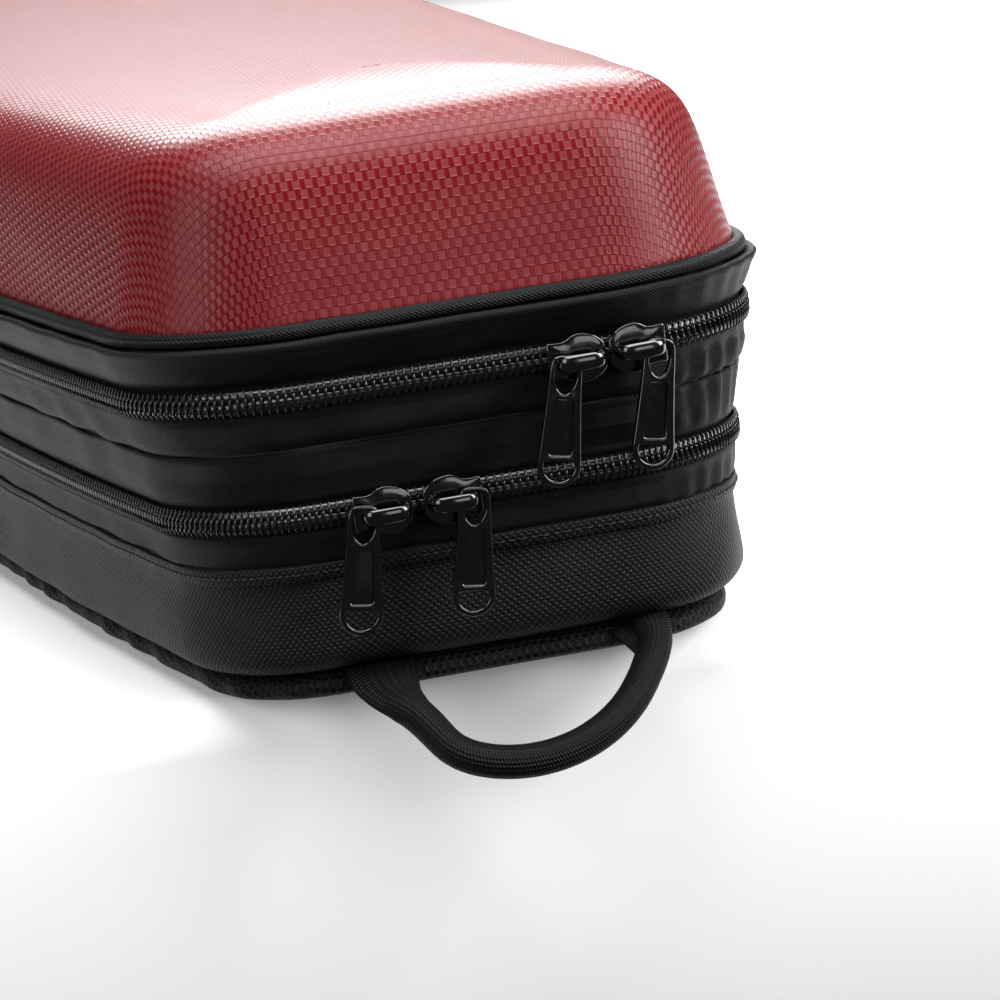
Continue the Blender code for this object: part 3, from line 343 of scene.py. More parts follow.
def spacer_mesh(colours):
    """Warp-knitted spacer mesh: round openings in a honeycomb every 2.4 mm, with thick threads."""
    made, tree, shader = start_material("Spacer mesh, warp knitted", 0.6, Specular_IOR_Level=0.2)
    u, v = surface_mm(tree)
    holes = []
    wide, tall = 2.4, 4.1
    for shift in (0.0, 0.5):
        parts = []
        for value, pitch, share in ((u, wide, 1.0), (v, tall, 1.7)):
            scaled = add_node(tree, "Math", [value, 1 / pitch, shift], operation="MULTIPLY_ADD")
            near = add_node(tree, "Math", [scaled], operation="FRACT")
            near = add_node(tree, "Math", [near, 0.5], operation="SUBTRACT")
            parts.append(add_node(tree, "Math", [near, share], operation="MULTIPLY"))
        spot = add_node(tree, "CombineXYZ", [parts[0], parts[1], 0.0])
        holes.append(add_node(tree, "VectorMath", [spot], 1, operation="LENGTH"))
    nearest = add_node(tree, "Math", holes, operation="MINIMUM")
    thread = add_node(tree, "MapRange", [nearest, 0.27, 0.42, 0.0, 1.0])
    fibre = wave(tree, u, 0.7)
    height = add_node(tree, "Math", [fibre, 0.08, thread], operation="MULTIPLY_ADD")
    paint(tree, shader, thread, *shades(colours.webbing, 0.12, 5.0), 0.15, 20.0)
    emboss(tree, shader, height, 0.6 * MM, 1.0)
    return made


def coil_nylon():
    """Extruded nylon monofilament, wound hot into the zip's coil: smooth and a little greasy."""
    made, tree, shader = start_material("Nylon monofilament, coiled", 0.3, Specular_IOR_Level=0.75)
    place = add_node(tree, "TexCoord", out=3)
    cloud = add_node(tree, "TexNoise", {0: place, 2: 900.0, 3: 2.0})
    rough = add_node(tree, "MapRange", [cloud, 0.3, 0.7, 0.2, 0.3])
    tree.links.new(rough, shader.inputs["Roughness"])
    paint(tree, shader, cloud, (0.003, 0.0034, 0.0036), (0.007, 0.008, 0.0085))
    emboss(tree, shader, cloud, 0.01 * MM, 0.3)
    return made


def lacquered_zinc(colours):
    """Die-cast zinc under gloss black lacquer, with a painted highlight: lighter grey along its
    sharp edges.
    """
    made, tree, shader = start_material(
        "Zinc, die cast and black lacquered", 0.16, Coat_Weight=0.6, Coat_Roughness=0.06
    )
    place = add_node(tree, "TexCoord", out=3)
    cloud = add_node(tree, "TexNoise", {0: place, 2: 420.0, 3: 4.0})
    # Painted highlight: sharp edges, found by their pointiness, turn lighter grey, broken up by
    # noise.
    edge = add_node(tree, "NewGeometry", out=7)
    edge_highlight = add_node(tree, "MapRange", [edge, 0.54, 0.66, 0.0, 0.5])
    painted_edge_highlight = add_node(tree, "Math", [edge_highlight, cloud], operation="MULTIPLY")
    paint(tree, shader, painted_edge_highlight, colours.metal, (0.09, 0.09, 0.092))
    rough = add_node(tree, "MapRange", [cloud, 0.3, 0.7, 0.1, 0.22])
    tree.links.new(rough, shader.inputs["Roughness"])
    emboss(tree, shader, cloud, 0.02 * MM, 0.25)
    return made


def plush(colours):
    """Short cut-pile plush: soft sheen, with patches where the pile lies another way."""
    made, tree, shader = start_material(
        "Plush, cut pile", 0.92, Sheen_Weight=0.5, Sheen_Roughness=0.4
    )
    place = add_node(tree, "TexCoord", out=3)
    pile = add_node(tree, "TexNoise", {0: place, 2: 1400.0, 3: 3.0})
    lay = add_node(tree, "TexNoise", {0: place, 2: 26.0, 3: 3.0})
    both = add_node(tree, "Math", [lay, 0.6, pile], operation="MULTIPLY_ADD")
    mask = add_node(tree, "MapRange", [both, 0.5, 1.1, 0.0, 1.0])
    paint(tree, shader, mask, *shades(colours.lining, 0.7, 1.25))
    emboss(tree, shader, pile, 0.35 * MM, 0.6)
    return made


def stitching_thread():
    """Bonded nylon sewing thread: two plies, slightly shiny."""
    made, tree, shader = start_material("Bonded nylon thread", 0.45)
    u, v = surface_mm(tree)
    lean = add_node(tree, "Math", [v, 1.2, u], operation="MULTIPLY_ADD")
    ply = wave(tree, lean, 0.5)
    mask = add_node(tree, "MapRange", [ply, -1, 1, 0, 1])
    paint(tree, shader, mask, (0.004, 0.0045, 0.005), (0.013, 0.014, 0.015))
    emboss(tree, shader, ply, 0.05 * MM, 0.6)
    return made


def painted_table():
    """Pale matt board for the case to lie on."""
    made, tree, shader = start_material(
        "Board, matt painted", 0.85, Emission_Color=(1, 1, 1, 1), Emission_Strength=0.12
    )
    place = add_node(tree, "TexCoord", out=3)
    cloud = add_node(tree, "TexNoise", {0: place, 2: 3.0, 3: 2.0})
    paint(tree, shader, cloud, (0.9, 0.9, 0.9), (0.94, 0.94, 0.94))
    return made


STUFF = {}


def stuff(name):
    """The material of this name, made the first time it is asked for."""
    colours = bpy.context.scene.case_colours
    makers = {
        "red_weave": lambda: red_tape_cloth(colours),
        "black_nylon": lambda: ballistic_nylon(colours),
        "black_tape": lambda: herringbone_tape(colours),
        "webbing": lambda: ribbed_webbing("Nylon webbing, rolled", 0.85, colours),
        "hinge_cloth": lambda: ribbed_webbing("Binding tape, grosgrain", 0.8, colours),
        "welt_cord": lambda: piping_braid(colours),
        "spacer_mesh": lambda: spacer_mesh(colours),
        "coil_nylon": coil_nylon,
        "black_metal": lambda: lacquered_zinc(colours),
        "plush_lining": lambda: plush(colours),
        "thread": stitching_thread,
        "table": painted_table,
    }
    if name not in STUFF:
        STUFF[name] = makers[name]()
    return STUFF[name]


# ---------------------------------------------------------------- plan and profiles, in millimetres

KNOWN = {}


def measure():
    """Every size of the case and of its zips, in millimetres."""
    if "sizes" not in KNOWN:
        found = {}
        for group in (bpy.context.scene.case_sizes, bpy.context.scene.zip_sizes):
            found |= {key: getattr(group, key) / MM for key in type(group).__annotations__}
        KNOWN["sizes"] = SimpleNamespace(**found)
    return KNOWN["sizes"]


def plan():
    """Run, places and outward normals round the plan: five arcs, and straights between them.

    The long side's arc touches both front corner arcs, so its centre is where circles of
    the radii's differences round the two corner centres cross.
    """
    if "plan" in KNOWN:
        return KNOWN["plan"]
    m = measure()
    half, rear = m.long / 2, m.end / 2
    scroll_x, bout_x = half - m.end_radius, m.bout_radius - half
    bout = np.array([bout_x, rear - m.bout + m.bout_radius])
    scroll = np.array([scroll_x, m.end_radius - rear])
    span = np.linalg.norm(scroll - bout)
    ahead = (scroll - bout) / span
    to_bout, to_scroll = m.side_radius - m.bout_radius, m.side_radius - m.end_radius
    along = (to_bout**2 - to_scroll**2 + span**2) / (2 * span)
    rise = math.sqrt(to_bout**2 - along**2)
    middle = bout + along * ahead + rise * np.array([-ahead[1], ahead[0]])
    turn_bout = math.atan2(*(bout - middle)[::-1]) % TURN
    turn_scroll = math.atan2(*(scroll - middle)[::-1]) % TURN
    arcs = (
        ((scroll_x, rear - m.end_radius), m.end_radius, 0.0, TURN / 4),
        ((bout_x, rear - m.bout_radius), m.bout_radius, TURN / 4, TURN / 2),
        (bout, m.bout_radius, TURN / 2, turn_bout),
        (middle, m.side_radius, turn_bout, turn_scroll),
        (scroll, m.end_radius, turn_scroll, TURN),
    )
    places, normals = [[(half, 0.0)]], [[(1.0, 0.0)]]
    for centre, radius, start, stop in arcs:
        angle = np.linspace(start, stop, int(radius * (stop - start) / 0.5) + 2)
        normal = np.column_stack([np.cos(angle), np.sin(angle)])
        places.append(np.array(centre) + radius * normal)
        normals.append(normal)
    places, normals = np.vstack(places + [[(half, 0.0)]]), np.vstack(normals + [[(1.0, 0.0)]])
    run = np.append(0, np.cumsum(np.linalg.norm(np.diff(places, axis=0), axis=1)))
    KNOWN["plan"] = run, places, normals
    return KNOWN["plan"]


def girth():
    """Length of the plan's outline."""
    return float(plan()[0][-1])


def around(run):
    """Places on the plan and outward normals at these runs."""
    table, places, normals = plan()
    at = np.mod(run, table[-1])
    place = np.stack([np.interp(at, table, places[:, k]) for k in (0, 1)], -1)
    normal = np.stack([np.interp(at, table, normals[:, k]) for k in (0, 1)], -1)
    return place, normal / np.linalg.norm(normal, axis=-1, keepdims=True)


def columns_round(step):
    """Even number of runs, this far apart, once round the plan."""
    count = 2 * int(girth() / step / 2)
    return np.arange(count) * girth() / count


def rear_run(x):
    """Run of the point on the straight hinged side at this x."""
    m = measure()
    corner = m.end / 2 - m.end_radius + m.end_radius * TURN / 4
    return corner + (m.long / 2 - m.end_radius - x)


def soften(profile, times=2, closed=True):
    """Cut each corner of the profile at a quarter of its sides, over and over."""
    line = np.array(profile, float)
    for _ in range(times):
        after = np.roll(line, -1, axis=0)
        pairs = np.stack([0.75 * line + 0.25 * after, 0.25 * line + 0.75 * after], 1)
        cut = pairs.reshape(-1, line.shape[1])
        line = cut if closed else np.vstack([line[:1], cut[:-2], line[-1:]])
    return line


def arc_of(line):
    """Length along a line of points to each of them."""
    return np.append(0, np.cumsum(np.linalg.norm(np.diff(line, axis=0), axis=1)))


def ripple(run, height, seed, deep, waves=(14, 60), tall=18.0):
    """Slow unevenness of cloth: a third of the sum of eight sines round the case and up it."""
    draw = np.random.default_rng(seed)
    total = np.zeros(np.broadcast(run, height).shape)
    for _ in range(8):
        count = draw.integers(*waves)
        lean, phase = draw.uniform(-1, 1) / tall, draw.uniform(0, TURN)
        total = total + np.sin(TURN * (count * run / girth() + lean * height) + phase)
    return deep * total / 3


def puckers(run, height, at, spread, pitch, deep):
    """Upright gathers near one run: a sine that fades to both sides of it."""
    away = np.mod(run - at + girth() / 2, girth()) - girth() / 2
    fade = np.exp(-((away / spread) ** 2))
    return deep * fade * np.sin(TURN * away / pitch + 0.06 * height)


def rows_of(profile):
    """Profile rows as (offset, height, share), with share 0 where a row leaves it out."""
    return np.array([(*row, 0.0)[:3] for row in np.asarray(profile).tolist()])


def carried(profile, run, push=None):
    """Profile rows of (offset, height, share) carried round the runs.

    A share above 0 draws a row that part of the way to the middle line of the case. Push
    gives how far the cloth stands out at a run and height.
    """
    line = rows_of(profile)
    offset, height, share = (line[:, k, None] for k in range(3))
    place, normal = around(run)
    if push:
        offset = offset + push(run[None, :], height) * (share == 0)
    flat = place[None] + offset[..., None] * normal[None]
    m = measure()
    start = np.array([(m.bout - m.long) / 2, (m.end - m.bout) / 2])
    span = np.array([(m.long - m.end) / 2, 0.0]) - start
    along = np.clip((flat - start) @ span / (span @ span), 0, 1)
    flat = flat + share[..., None] * (start + along[..., None] * span - flat)
    tall = np.broadcast_to(height, flat.shape[:2])
    return np.concatenate([flat, tall[..., None]], -1)


# ---------------------------------------------------------------- meshes


def grid(points, uv=None, wrap_rows=False, wrap_columns=False, ends=False):
    """Quads over a grid of points, and their UVs.

    The rows and the columns may close on themselves. Ends are closed by a ladder of quads
    between the two halves of the first row, and of the last.
    """
    rows, columns = points.shape[:2]
    if uv is None:
        uv = np.stack(
            np.meshgrid(np.arange(rows + 1.0), np.arange(columns + 1.0), indexing="ij"), -1
        )
    low = np.arange(rows - (not wrap_rows))[:, None]
    left = np.arange(columns - (not wrap_columns))[None, :]
    corners = [(low, left), (low, left + 1), (low + 1, left + 1), (low + 1, left)]
    faces = np.stack([(i % rows) * columns + j % columns for i, j in corners], -1)
    spots = np.stack([uv[i, j] for i, j in corners], -2)
    faces, spots = [faces.reshape(-1, 4)], [spots.reshape(-1, 4, 2)]
    if ends:
        rung = np.arange(columns // 2 - 1)
        step = np.stack([rung, rung + 1, columns - 2 - rung, columns - 1 - rung], -1)
        for row, order in ((0, step[:, ::-1]), (rows - 1, step)):
            faces.append(row * columns + order)
            spots.append(uv[row, order])
    return outward(points.reshape(-1, 3), np.vstack(faces), np.vstack(spots))


def outward(points, faces, spots):
    """Turn every face round if the closed shape's volume comes out negative."""
    a, b, c, d = (points[faces[:, k]] for k in range(4))
    volume = np.einsum("ij,ij", a, np.cross(b, c)) + np.einsum("ij,ij", a, np.cross(c, d))
    if volume < 0:
        faces, spots = faces[:, ::-1], spots[:, ::-1]
    return points, faces, spots


def joined(*shapes):
    """Several shapes as one."""
    counts = np.cumsum([0] + [len(points) for points, _, _ in shapes])
    return (
        np.vstack([points for points, _, _ in shapes]),
        np.vstack([faces + count for (_, faces, _), count in zip(shapes, counts)]),
        np.vstack([spots for _, _, spots in shapes]),
    )


def placed(shape, matrix):
    """A shape moved by a matrix whose place is in metres."""
    turn = np.array(matrix)
    points = shape[0] @ turn[:3, :3].T + turn[:3, 3] / MM
    return points, shape[1], shape[2]


def lay_mesh(name, shape):
    """Mesh of a shape given in millimetres, with its UVs in the map named cloth."""
    points, faces, spots = shape
    mesh = bpy.data.meshes.new(name)
    mesh.vertices.add(len(points))
    mesh.vertices.foreach_set("co", (points * MM).astype(np.float32).ravel())
    mesh.loops.add(faces.size)
    mesh.loops.foreach_set("vertex_index", faces.astype(np.int32).ravel())
    mesh.polygons.add(len(faces))
    mesh.polygons.foreach_set("loop_start", np.arange(0, faces.size, 4, dtype=np.int32))
    mesh.uv_layers.new(name="cloth").data.foreach_set("uv", spots.astype(np.float32).ravel())
    mesh.update(calc_edges=True)
    mesh.validate()
    mesh.shade_smooth()
    return mesh


def piece(name, mesh, material, body, nodes=()):
    """One finished piece that rides on a body and stands for the CAD nodes."""
    if isinstance(mesh, tuple):
        mesh = lay_mesh(name, mesh)
    obj = bpy.data.objects.new(name, mesh)
    bpy.context.scene.collection.objects.link(obj)
    mesh.materials.clear()
    mesh.materials.append(stuff(material))
    if body:
        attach(obj, body)
    if nodes:
        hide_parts(*nodes)
    return obj


def band(profile, run, push=None):
    """Closed ring whose section is the closed profile: u runs round it, v over the profile."""
    points = carried(profile, run, push)
    arc = arc_of(np.vstack([profile, profile[:1]]))
    uv = np.stack(np.meshgrid(np.append(run, girth()), arc, indexing="xy"), -1)
    return grid(points, uv, wrap_rows=True, wrap_columns=True)


def strip(profile, run):
    """Closed profile carried along part of the plan, with both ends closed."""
    points = carried(profile, run).transpose(1, 0, 2)
    arc = arc_of(np.vstack([profile, profile[:1]]))
    uv = np.stack(np.meshgrid(run, arc, indexing="ij"), -1)
    return grid(points, uv, wrap_columns=True, ends=True)


def vessel(profile, run, push=None):
    """Skin whose rows run from one flat middle to another, laid out on its plan."""
    points = carried(profile, run, push)
    _, normal = around(run)
    line = rows_of(profile)
    bare = line[:, 2] == 0
    shoulder = int(np.argmax(bare))
    arc = arc_of(line[:, :2])
    arc = np.where(bare, arc - arc[shoulder], 0.0)
    flat = np.where(bare[:, None, None], points[shoulder][None, :, :2], points[..., :2])
    uv = (flat + arc[:, None, None] * normal[None])[..., ::-1]
    uv = np.concatenate([uv, uv[:, :1]], 1)
    return grid(points, uv, wrap_columns=True, ends=True)


def tube(path, radius, sides, normal=None, closed=False):
    """Tube along a path: circles of (across, deep) radii, across being square to the normal."""
    path = np.asarray(path, float)
    if closed:
        ahead = np.roll(path, -1, axis=0) - np.roll(path, 1, axis=0)
    else:
        ahead = np.gradient(path, axis=0)
    ahead /= np.linalg.norm(ahead, axis=1, keepdims=True)
    out = np.broadcast_to(np.asarray(normal, float), path.shape)
    out = out - np.sum(out * ahead, 1, keepdims=True) * ahead
    out = out / np.linalg.norm(out, axis=1, keepdims=True)
    across = np.cross(ahead, out)
    size = np.broadcast_to(np.asarray(radius, float), (len(path), 2))
    angle = np.arange(sides) * TURN / sides
    wide = size[:, :1] * np.cos(angle)
    deep = size[:, 1:] * np.sin(angle)
    points = path[:, None] + wide[..., None] * across[:, None] + deep[..., None] * out[:, None]
    along = arc_of(np.vstack([path, path[:1]]) if closed else path)
    girths = size.mean() * np.append(angle, TURN)
    uv = np.stack(np.meshgrid(along, girths, indexing="ij"), -1)
    return grid(points, uv, wrap_rows=closed, wrap_columns=True, ends=not closed)


def flat_solid(outlines, thick, bevel):
    """Solid filled between flat outlines, its edges rounded, as a mesh about its own plane."""
    curve = bpy.data.curves.new("outline", "CURVE")
    curve.dimensions = "2D"
    curve.fill_mode = "BOTH"
    curve.extrude = (thick / 2 - bevel) * MM
    curve.bevel_depth = bevel * MM
    curve.bevel_resolution = 2
    curve.offset = -bevel * MM
    for outline in outlines:
        spline = curve.splines.new("POLY")
        spline.points.add(len(outline) - 1)
        flat = np.zeros((len(outline), 4))
        flat[:, :2] = np.asarray(outline) * MM
        flat[:, 3] = 1
        spline.points.foreach_set("co", flat.ravel())
        spline.use_cyclic_u = True
    maker = bpy.data.objects.new("outline", curve)
    bpy.context.scene.collection.objects.link(maker)
    graph = bpy.context.evaluated_depsgraph_get()
    graph.update()
    mesh = bpy.data.meshes.new_from_object(maker.evaluated_get(graph))
    bpy.data.objects.remove(maker)
    bpy.data.curves.remove(curve)
    shape = bmesh.new()
    shape.from_mesh(mesh)
    bmesh.ops.remove_doubles(shape, verts=shape.verts, dist=2e-6)
    bmesh.ops.recalc_face_normals(shape, faces=shape.faces)
    shape.to_mesh(mesh)
    shape.free()
    return mesh


def fetched(items, key, width=1, kind=np.float32):
    """One attribute of every item of a mesh, as an array."""
    values = np.zeros(len(items) * width, kind)
    items.foreach_get(key, values)
    return values.reshape(-1, width) if width > 1 else values


def finish_mesh(mesh, matrix=None, sharp=35):
    """Move a mesh into place, smooth it but for its sharp edges, and lay its cloth flat on it."""
    if matrix is not None:
        mesh.transform(matrix)
    mesh.shade_smooth()
    mesh.set_sharp_from_angle(angle=math.radians(sharp))
    for layer in list(mesh.uv_layers):
        mesh.uv_layers.remove(layer)
    index = fetched(mesh.loops, "vertex_index", kind=np.int32)
    corners = fetched(mesh.vertices, "co", 3)[index] / MM
    total = fetched(mesh.polygons, "loop_total", kind=np.int32)
    facing = np.repeat(np.abs(fetched(mesh.polygons, "normal", 3)).argmax(1), total)
    pick = np.array([(1, 2), (0, 2), (0, 1)])[facing]
    uv = np.take_along_axis(corners, pick, 1)
    mesh.uv_layers.new(name="cloth").data.foreach_set("uv", uv.astype(np.float32).ravel())
    return mesh


def softened_copy(node, bevel):
    """Copy of a CAD node with merged corners and rounded edges."""
    shape = bmesh.new()
    shape.from_mesh(frame["nodes"][node].data)
    bmesh.ops.remove_doubles(shape, verts=shape.verts, dist=1e-5)
    bmesh.ops.dissolve_limit(
        shape, angle_limit=math.radians(2), verts=shape.verts, edges=shape.edges
    )
    sharp = [e for e in shape.edges if e.is_manifold and e.calc_face_angle(0) > 0.5]
    bmesh.ops.bevel(
        shape, geom=sharp, offset=bevel * MM, segments=3, profile=0.5, affect="EDGES"
    )
    mesh = bpy.data.meshes.new(node)
    shape.to_mesh(mesh)
    shape.free()
    return finish_mesh(mesh, sharp=50)


def rounded_rect(low, high, radius, steps):
    """Corner-rounded rectangle as points."""
    low, high = np.array(low, float), np.array(high, float)
    quarter = np.linspace(0, TURN / 4, steps + 1)
    rows = []
    for k, (x, y) in enumerate(((1, 1), (0, 1), (0, 0), (1, 0))):
        middle = np.where([x, y], high - radius, low + radius)
        angle = quarter + k * TURN / 4
        rows.append(middle + radius * np.column_stack([np.cos(angle), np.sin(angle)]))
    return np.vstack(rows)


def frame_on(place, outward_way, nose_way):
    """Matrix of a slider: X to its nose, Y up the wall and Z out of it; the place is in mm."""
    out = Vector((*outward_way, 0)).normalized()
    nose = Vector((*nose_way, 0)).normalized()
    turn = Matrix((nose, out.cross(nose), out)).transposed().to_4x4()
    return Matrix.Translation(Vector(place) * MM) @ turn


# ---------------------------------------------------------------- zips, sliders and pulls


def coil_half(level_mm, coil, side):
    """Half of a coil chain: a helix round a line beside the meeting line of the zip.

    Up the wall it follows a cosine of 2.4 mm about its own middle, so the heads of both halves
    mesh; in depth it follows a sine within the chain's thickness. It gains one pitch a turn,
    held back by up to 0.3 of a pitch at its head, and is thickest there. A flat cord fills
    it, and the second half runs half a turn from the first.
    """
    reach = 2.4
    m = measure()
    start, stop = rear_run(zip_end(-1)), girth() + rear_run(zip_end(1))
    turns = int((stop - start) / m.pitch)
    step = np.arange(turns * 10 + 1) / 10 + (0.0 if side > 0 else 0.5)
    phase = TURN * step
    swing = np.cos(phase)
    place, normal = around(start + (step - 0.15 * (1 - swing)) * m.pitch)
    rise = m.half - m.wire - reach
    height = level_mm + side * (rise + reach * swing)
    out = coil - m.thick / 2 + (m.thick / 2 - m.wire) * np.sin(phase)
    path = np.column_stack([place + out[:, None] * normal, height])
    wide = m.wire * (0.95 - 0.3 * swing)
    coils = tube(path, np.column_stack([wide, wide]), 5, normal=(0.0, 0.0, 1.0))
    run = np.arange(start, start + turns * m.pitch, 3.0)
    middle = level_mm + side * (rise + 0.3)
    back, face, tall = coil - 1.85, coil - 1.15, 1.6
    core = [(back, middle - tall), (face, middle - tall)]
    core += [(face, middle + tall), (back, middle + tall)]
    return joined(coils, strip(np.array(core), run))


def chain_stitches(level_mm, coil, side):
    """Thread sewn along a half chain: a low wave, once a turn, 1.5 mm from the meeting line."""
    m = measure()
    start, stop = rear_run(zip_end(-1)), girth() + rear_run(zip_end(1))
    step = np.arange(int((stop - start) / m.pitch) * 4 + 1) / 4
    place, normal = around(start + step * m.pitch)
    out = coil - 1.0 + 0.12 * np.cos(TURN * step)
    height = level_mm + side * (1.5 + 0.2 * np.sin(TURN * step))
    path = np.column_stack([place + out[:, None] * normal, height])
    return tube(path, (0.3, 0.2), 4, normal=np.column_stack([normal, 0 * step]))


def zip_end(side):
    """Where the chain ends on the hinged side, in x: +1 is the scroll's end."""
    low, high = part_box("base_hinge_cloth")
    return (high.x if side > 0 else low.x) / MM + side


def level_and_coil(upper):
    """Height of a zip's meeting line, and the offset of its chain's face."""
    m = measure()
    return (m.upper_z, 0.0) if upper else (m.lower_z, -m.lower)


def slider_shape():
    """Slider: a domed shield with a square tail, two lips round the chain, and a bail."""
    half, tall = 8.6, 6.9
    bend = np.linspace(0, 1, 12)
    nose = np.column_stack([half - half * bend, tall * np.sqrt(1 - (1 - bend) ** 2.2)])
    tail = [(-1.6, 0.93 * tall), (-2.9, 0.8 * tall), (-4.2, 0.745 * tall), (-6.0, 0.74 * tall)]
    tail += [(-8.1, 0.76 * tall), (-8.5, 0.7 * tall), (-8.5, 0.3 * tall)]
    edge = np.vstack([nose[1:], tail])
    edge = np.vstack([edge, edge[::-1] * (1, -1)])
    rows = [(0.96, 0.5), (1.0, 0.8), (1.0, 1.6), (0.985, 1.85)]
    rows += [(0.95, 2.0), (0.75, 2.25), (0.35, 2.4)]
    plate = np.stack([np.column_stack([edge * share, np.full(len(edge), z)]) for share, z in rows])
    shapes = [grid(plate, wrap_columns=True, ends=True)]
    for side in (-1, 1):
        lip = [(-2.6, 1.2), (-2.2, -0.8), (0.4, -1.4), (2.6, -0.8), (3.2, 1.2)]
        lip = np.array([(x, side * 5.0, z) for x, z in lip])
        shapes.append(tube(lip, (0.9, 0.6), 12, normal=(0.0, float(side), 0.0)))
    bail = [(6.1, 1.6), (6.3, 3.6), (6.0, 5.6), (5.2, 7.2), (3.6, 8.0), (1.2, 8.3)]
    bail += [(-2.0, 8.3), (-4.2, 8.0), (-5.6, 7.0), (-6.2, 5.4), (-6.0, 3.4), (-5.4, 1.6)]
    bail = soften(bail, 2, False)
    path = np.column_stack([bail[:, 0], 0 * bail[:, 0], bail[:, 1]])
    along = np.linspace(0, 1, len(path))
    wide = 1.3 + 0.95 * np.sin(math.pi * along) ** 0.6
    size = np.column_stack([wide, np.full(len(path), 0.95)])
    shapes.append(tube(path, size, 14, (0.0, 0.0, 1.0)))
    return joined(*shapes)


def pull_mesh():
    """Pull about its eye, hanging along -Y: a rim round an eye, a sunk field and a window."""
    rim = [(0, 3.0), (3.0, 2.7), (4.2, 1.2), (4.5, -2), (4.7, -8), (5.5, -20), (6.1, -26.4)]
    bend = np.linspace(0, TURN / 4, 7)[1:]
    rim += list(zip(6.1 * np.cos(bend), -26.4 - 5.8 * np.sin(bend)))
    rim = np.array(rim)
    rim = np.vstack([rim, rim[-2:0:-1] * (-1, 1)])
    eye = [(0, 1.9), (1.7, 1.5), (2.9, -0.2), (3.2, -3.0), (2.4, -5.6), (0.9, -7.1), (0, -7.3)]
    eye = np.vstack([eye, np.array(eye)[-2:0:-1] * (-1, 1)])
    field = rounded_rect((-3.6, -23.6), (3.6, -8.7), 1.0, 3)
    field[:, 0] *= 0.9 - 0.2 * (field[:, 1] + 23.6) / 14.9
    window = [(4.3, -25.2), (4.45, -26.4)]
    window += list(zip(4.45 * np.cos(bend), -26.4 - 4.2 * np.sin(bend)))
    window = np.array(window)
    window = np.vstack([window, window[-2::-1] * (-1, 1)])
    outlines = [soften(rim, 1), soften(eye, 2), soften(field, 1), soften(window, 1)]
    plate = flat_solid(outlines, 2.0, 0.5)
    floor = flat_solid([field * (1.1, 1.04) + (0, 0.6)], 0.9, 0.15)
    floor.transform(Matrix.Translation((0, 0, -0.1 * MM)))
    return merged(plate, floor)


def merged(*meshes):
    """Several meshes in one."""
    shape = bmesh.new()
    for mesh in meshes:
        shape.from_mesh(mesh)
    whole = bpy.data.meshes.new(meshes[0].name)
    shape.to_mesh(whole)
    shape.free()
    return whole


def slider_frames():
    """Each slider's matrix and outward normal, from its CAD node and the way its nose points."""
    made = {}
    for name, nose in (("lid_left", 1), ("lid_right", -1), ("base_left", 1), ("base_right", -1)):
        low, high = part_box("slider_" + name)
        level_mm, coil = level_and_coil(name.startswith("lid"))
        y = (low.y + high.y) / 2 / MM
        place, normal = around(np.array([y if name != "lid_right" else LID_RIGHT_RUN]))
        place = place[0] + coil * normal[0]
        along = nose * np.array([-normal[0][1], normal[0][0]])
        made[name] = frame_on((*place, level_mm), normal[0], along), normal[0]
    return made


# The lid's right slider sits 7.19 degrees into the 51 mm corner, past 41.7 mm of straight.
LID_RIGHT_RUN = 41.7 + 51 * math.radians(7.19)
# How each slider and pull has settled, in millimetres and degrees: slider along and up the
# wall, pull along and up the wall, and the pull's lean.
SETTLED = {
    "lid_left": (0.9, -1.2, 2.0, -2.2, -11.2),
    "lid_right": (0.0, -0.7, -0.3, -1.7, -11.2),
    "base_left": (-0.6, -1.1, -1.4, -0.8, -9.0),
    "base_right": (1.1, -0.8, 1.2, -0.6, -7.8),
}


def nudge(along, up, across):
    """Matrix that moves a piece along the wall and up it, in millimetres."""
    return Matrix.Translation((along * Vector((*across, 0.0)) + up * Vector((0, 0, 1))) * MM)


def joint(name):
    """A joint's place in millimetres, and its axis."""
    found = next(entry for entry in frame["joints"] if entry["name"] == name)
    return np.array(found["pos_m"], float) / MM, np.array(found["axis"], float)


# ---------------------------------------------------------------- operators


class CaseOperator:
    """What every operator of the case shares"""

    bl_options = {"REGISTER", "UNDO"}


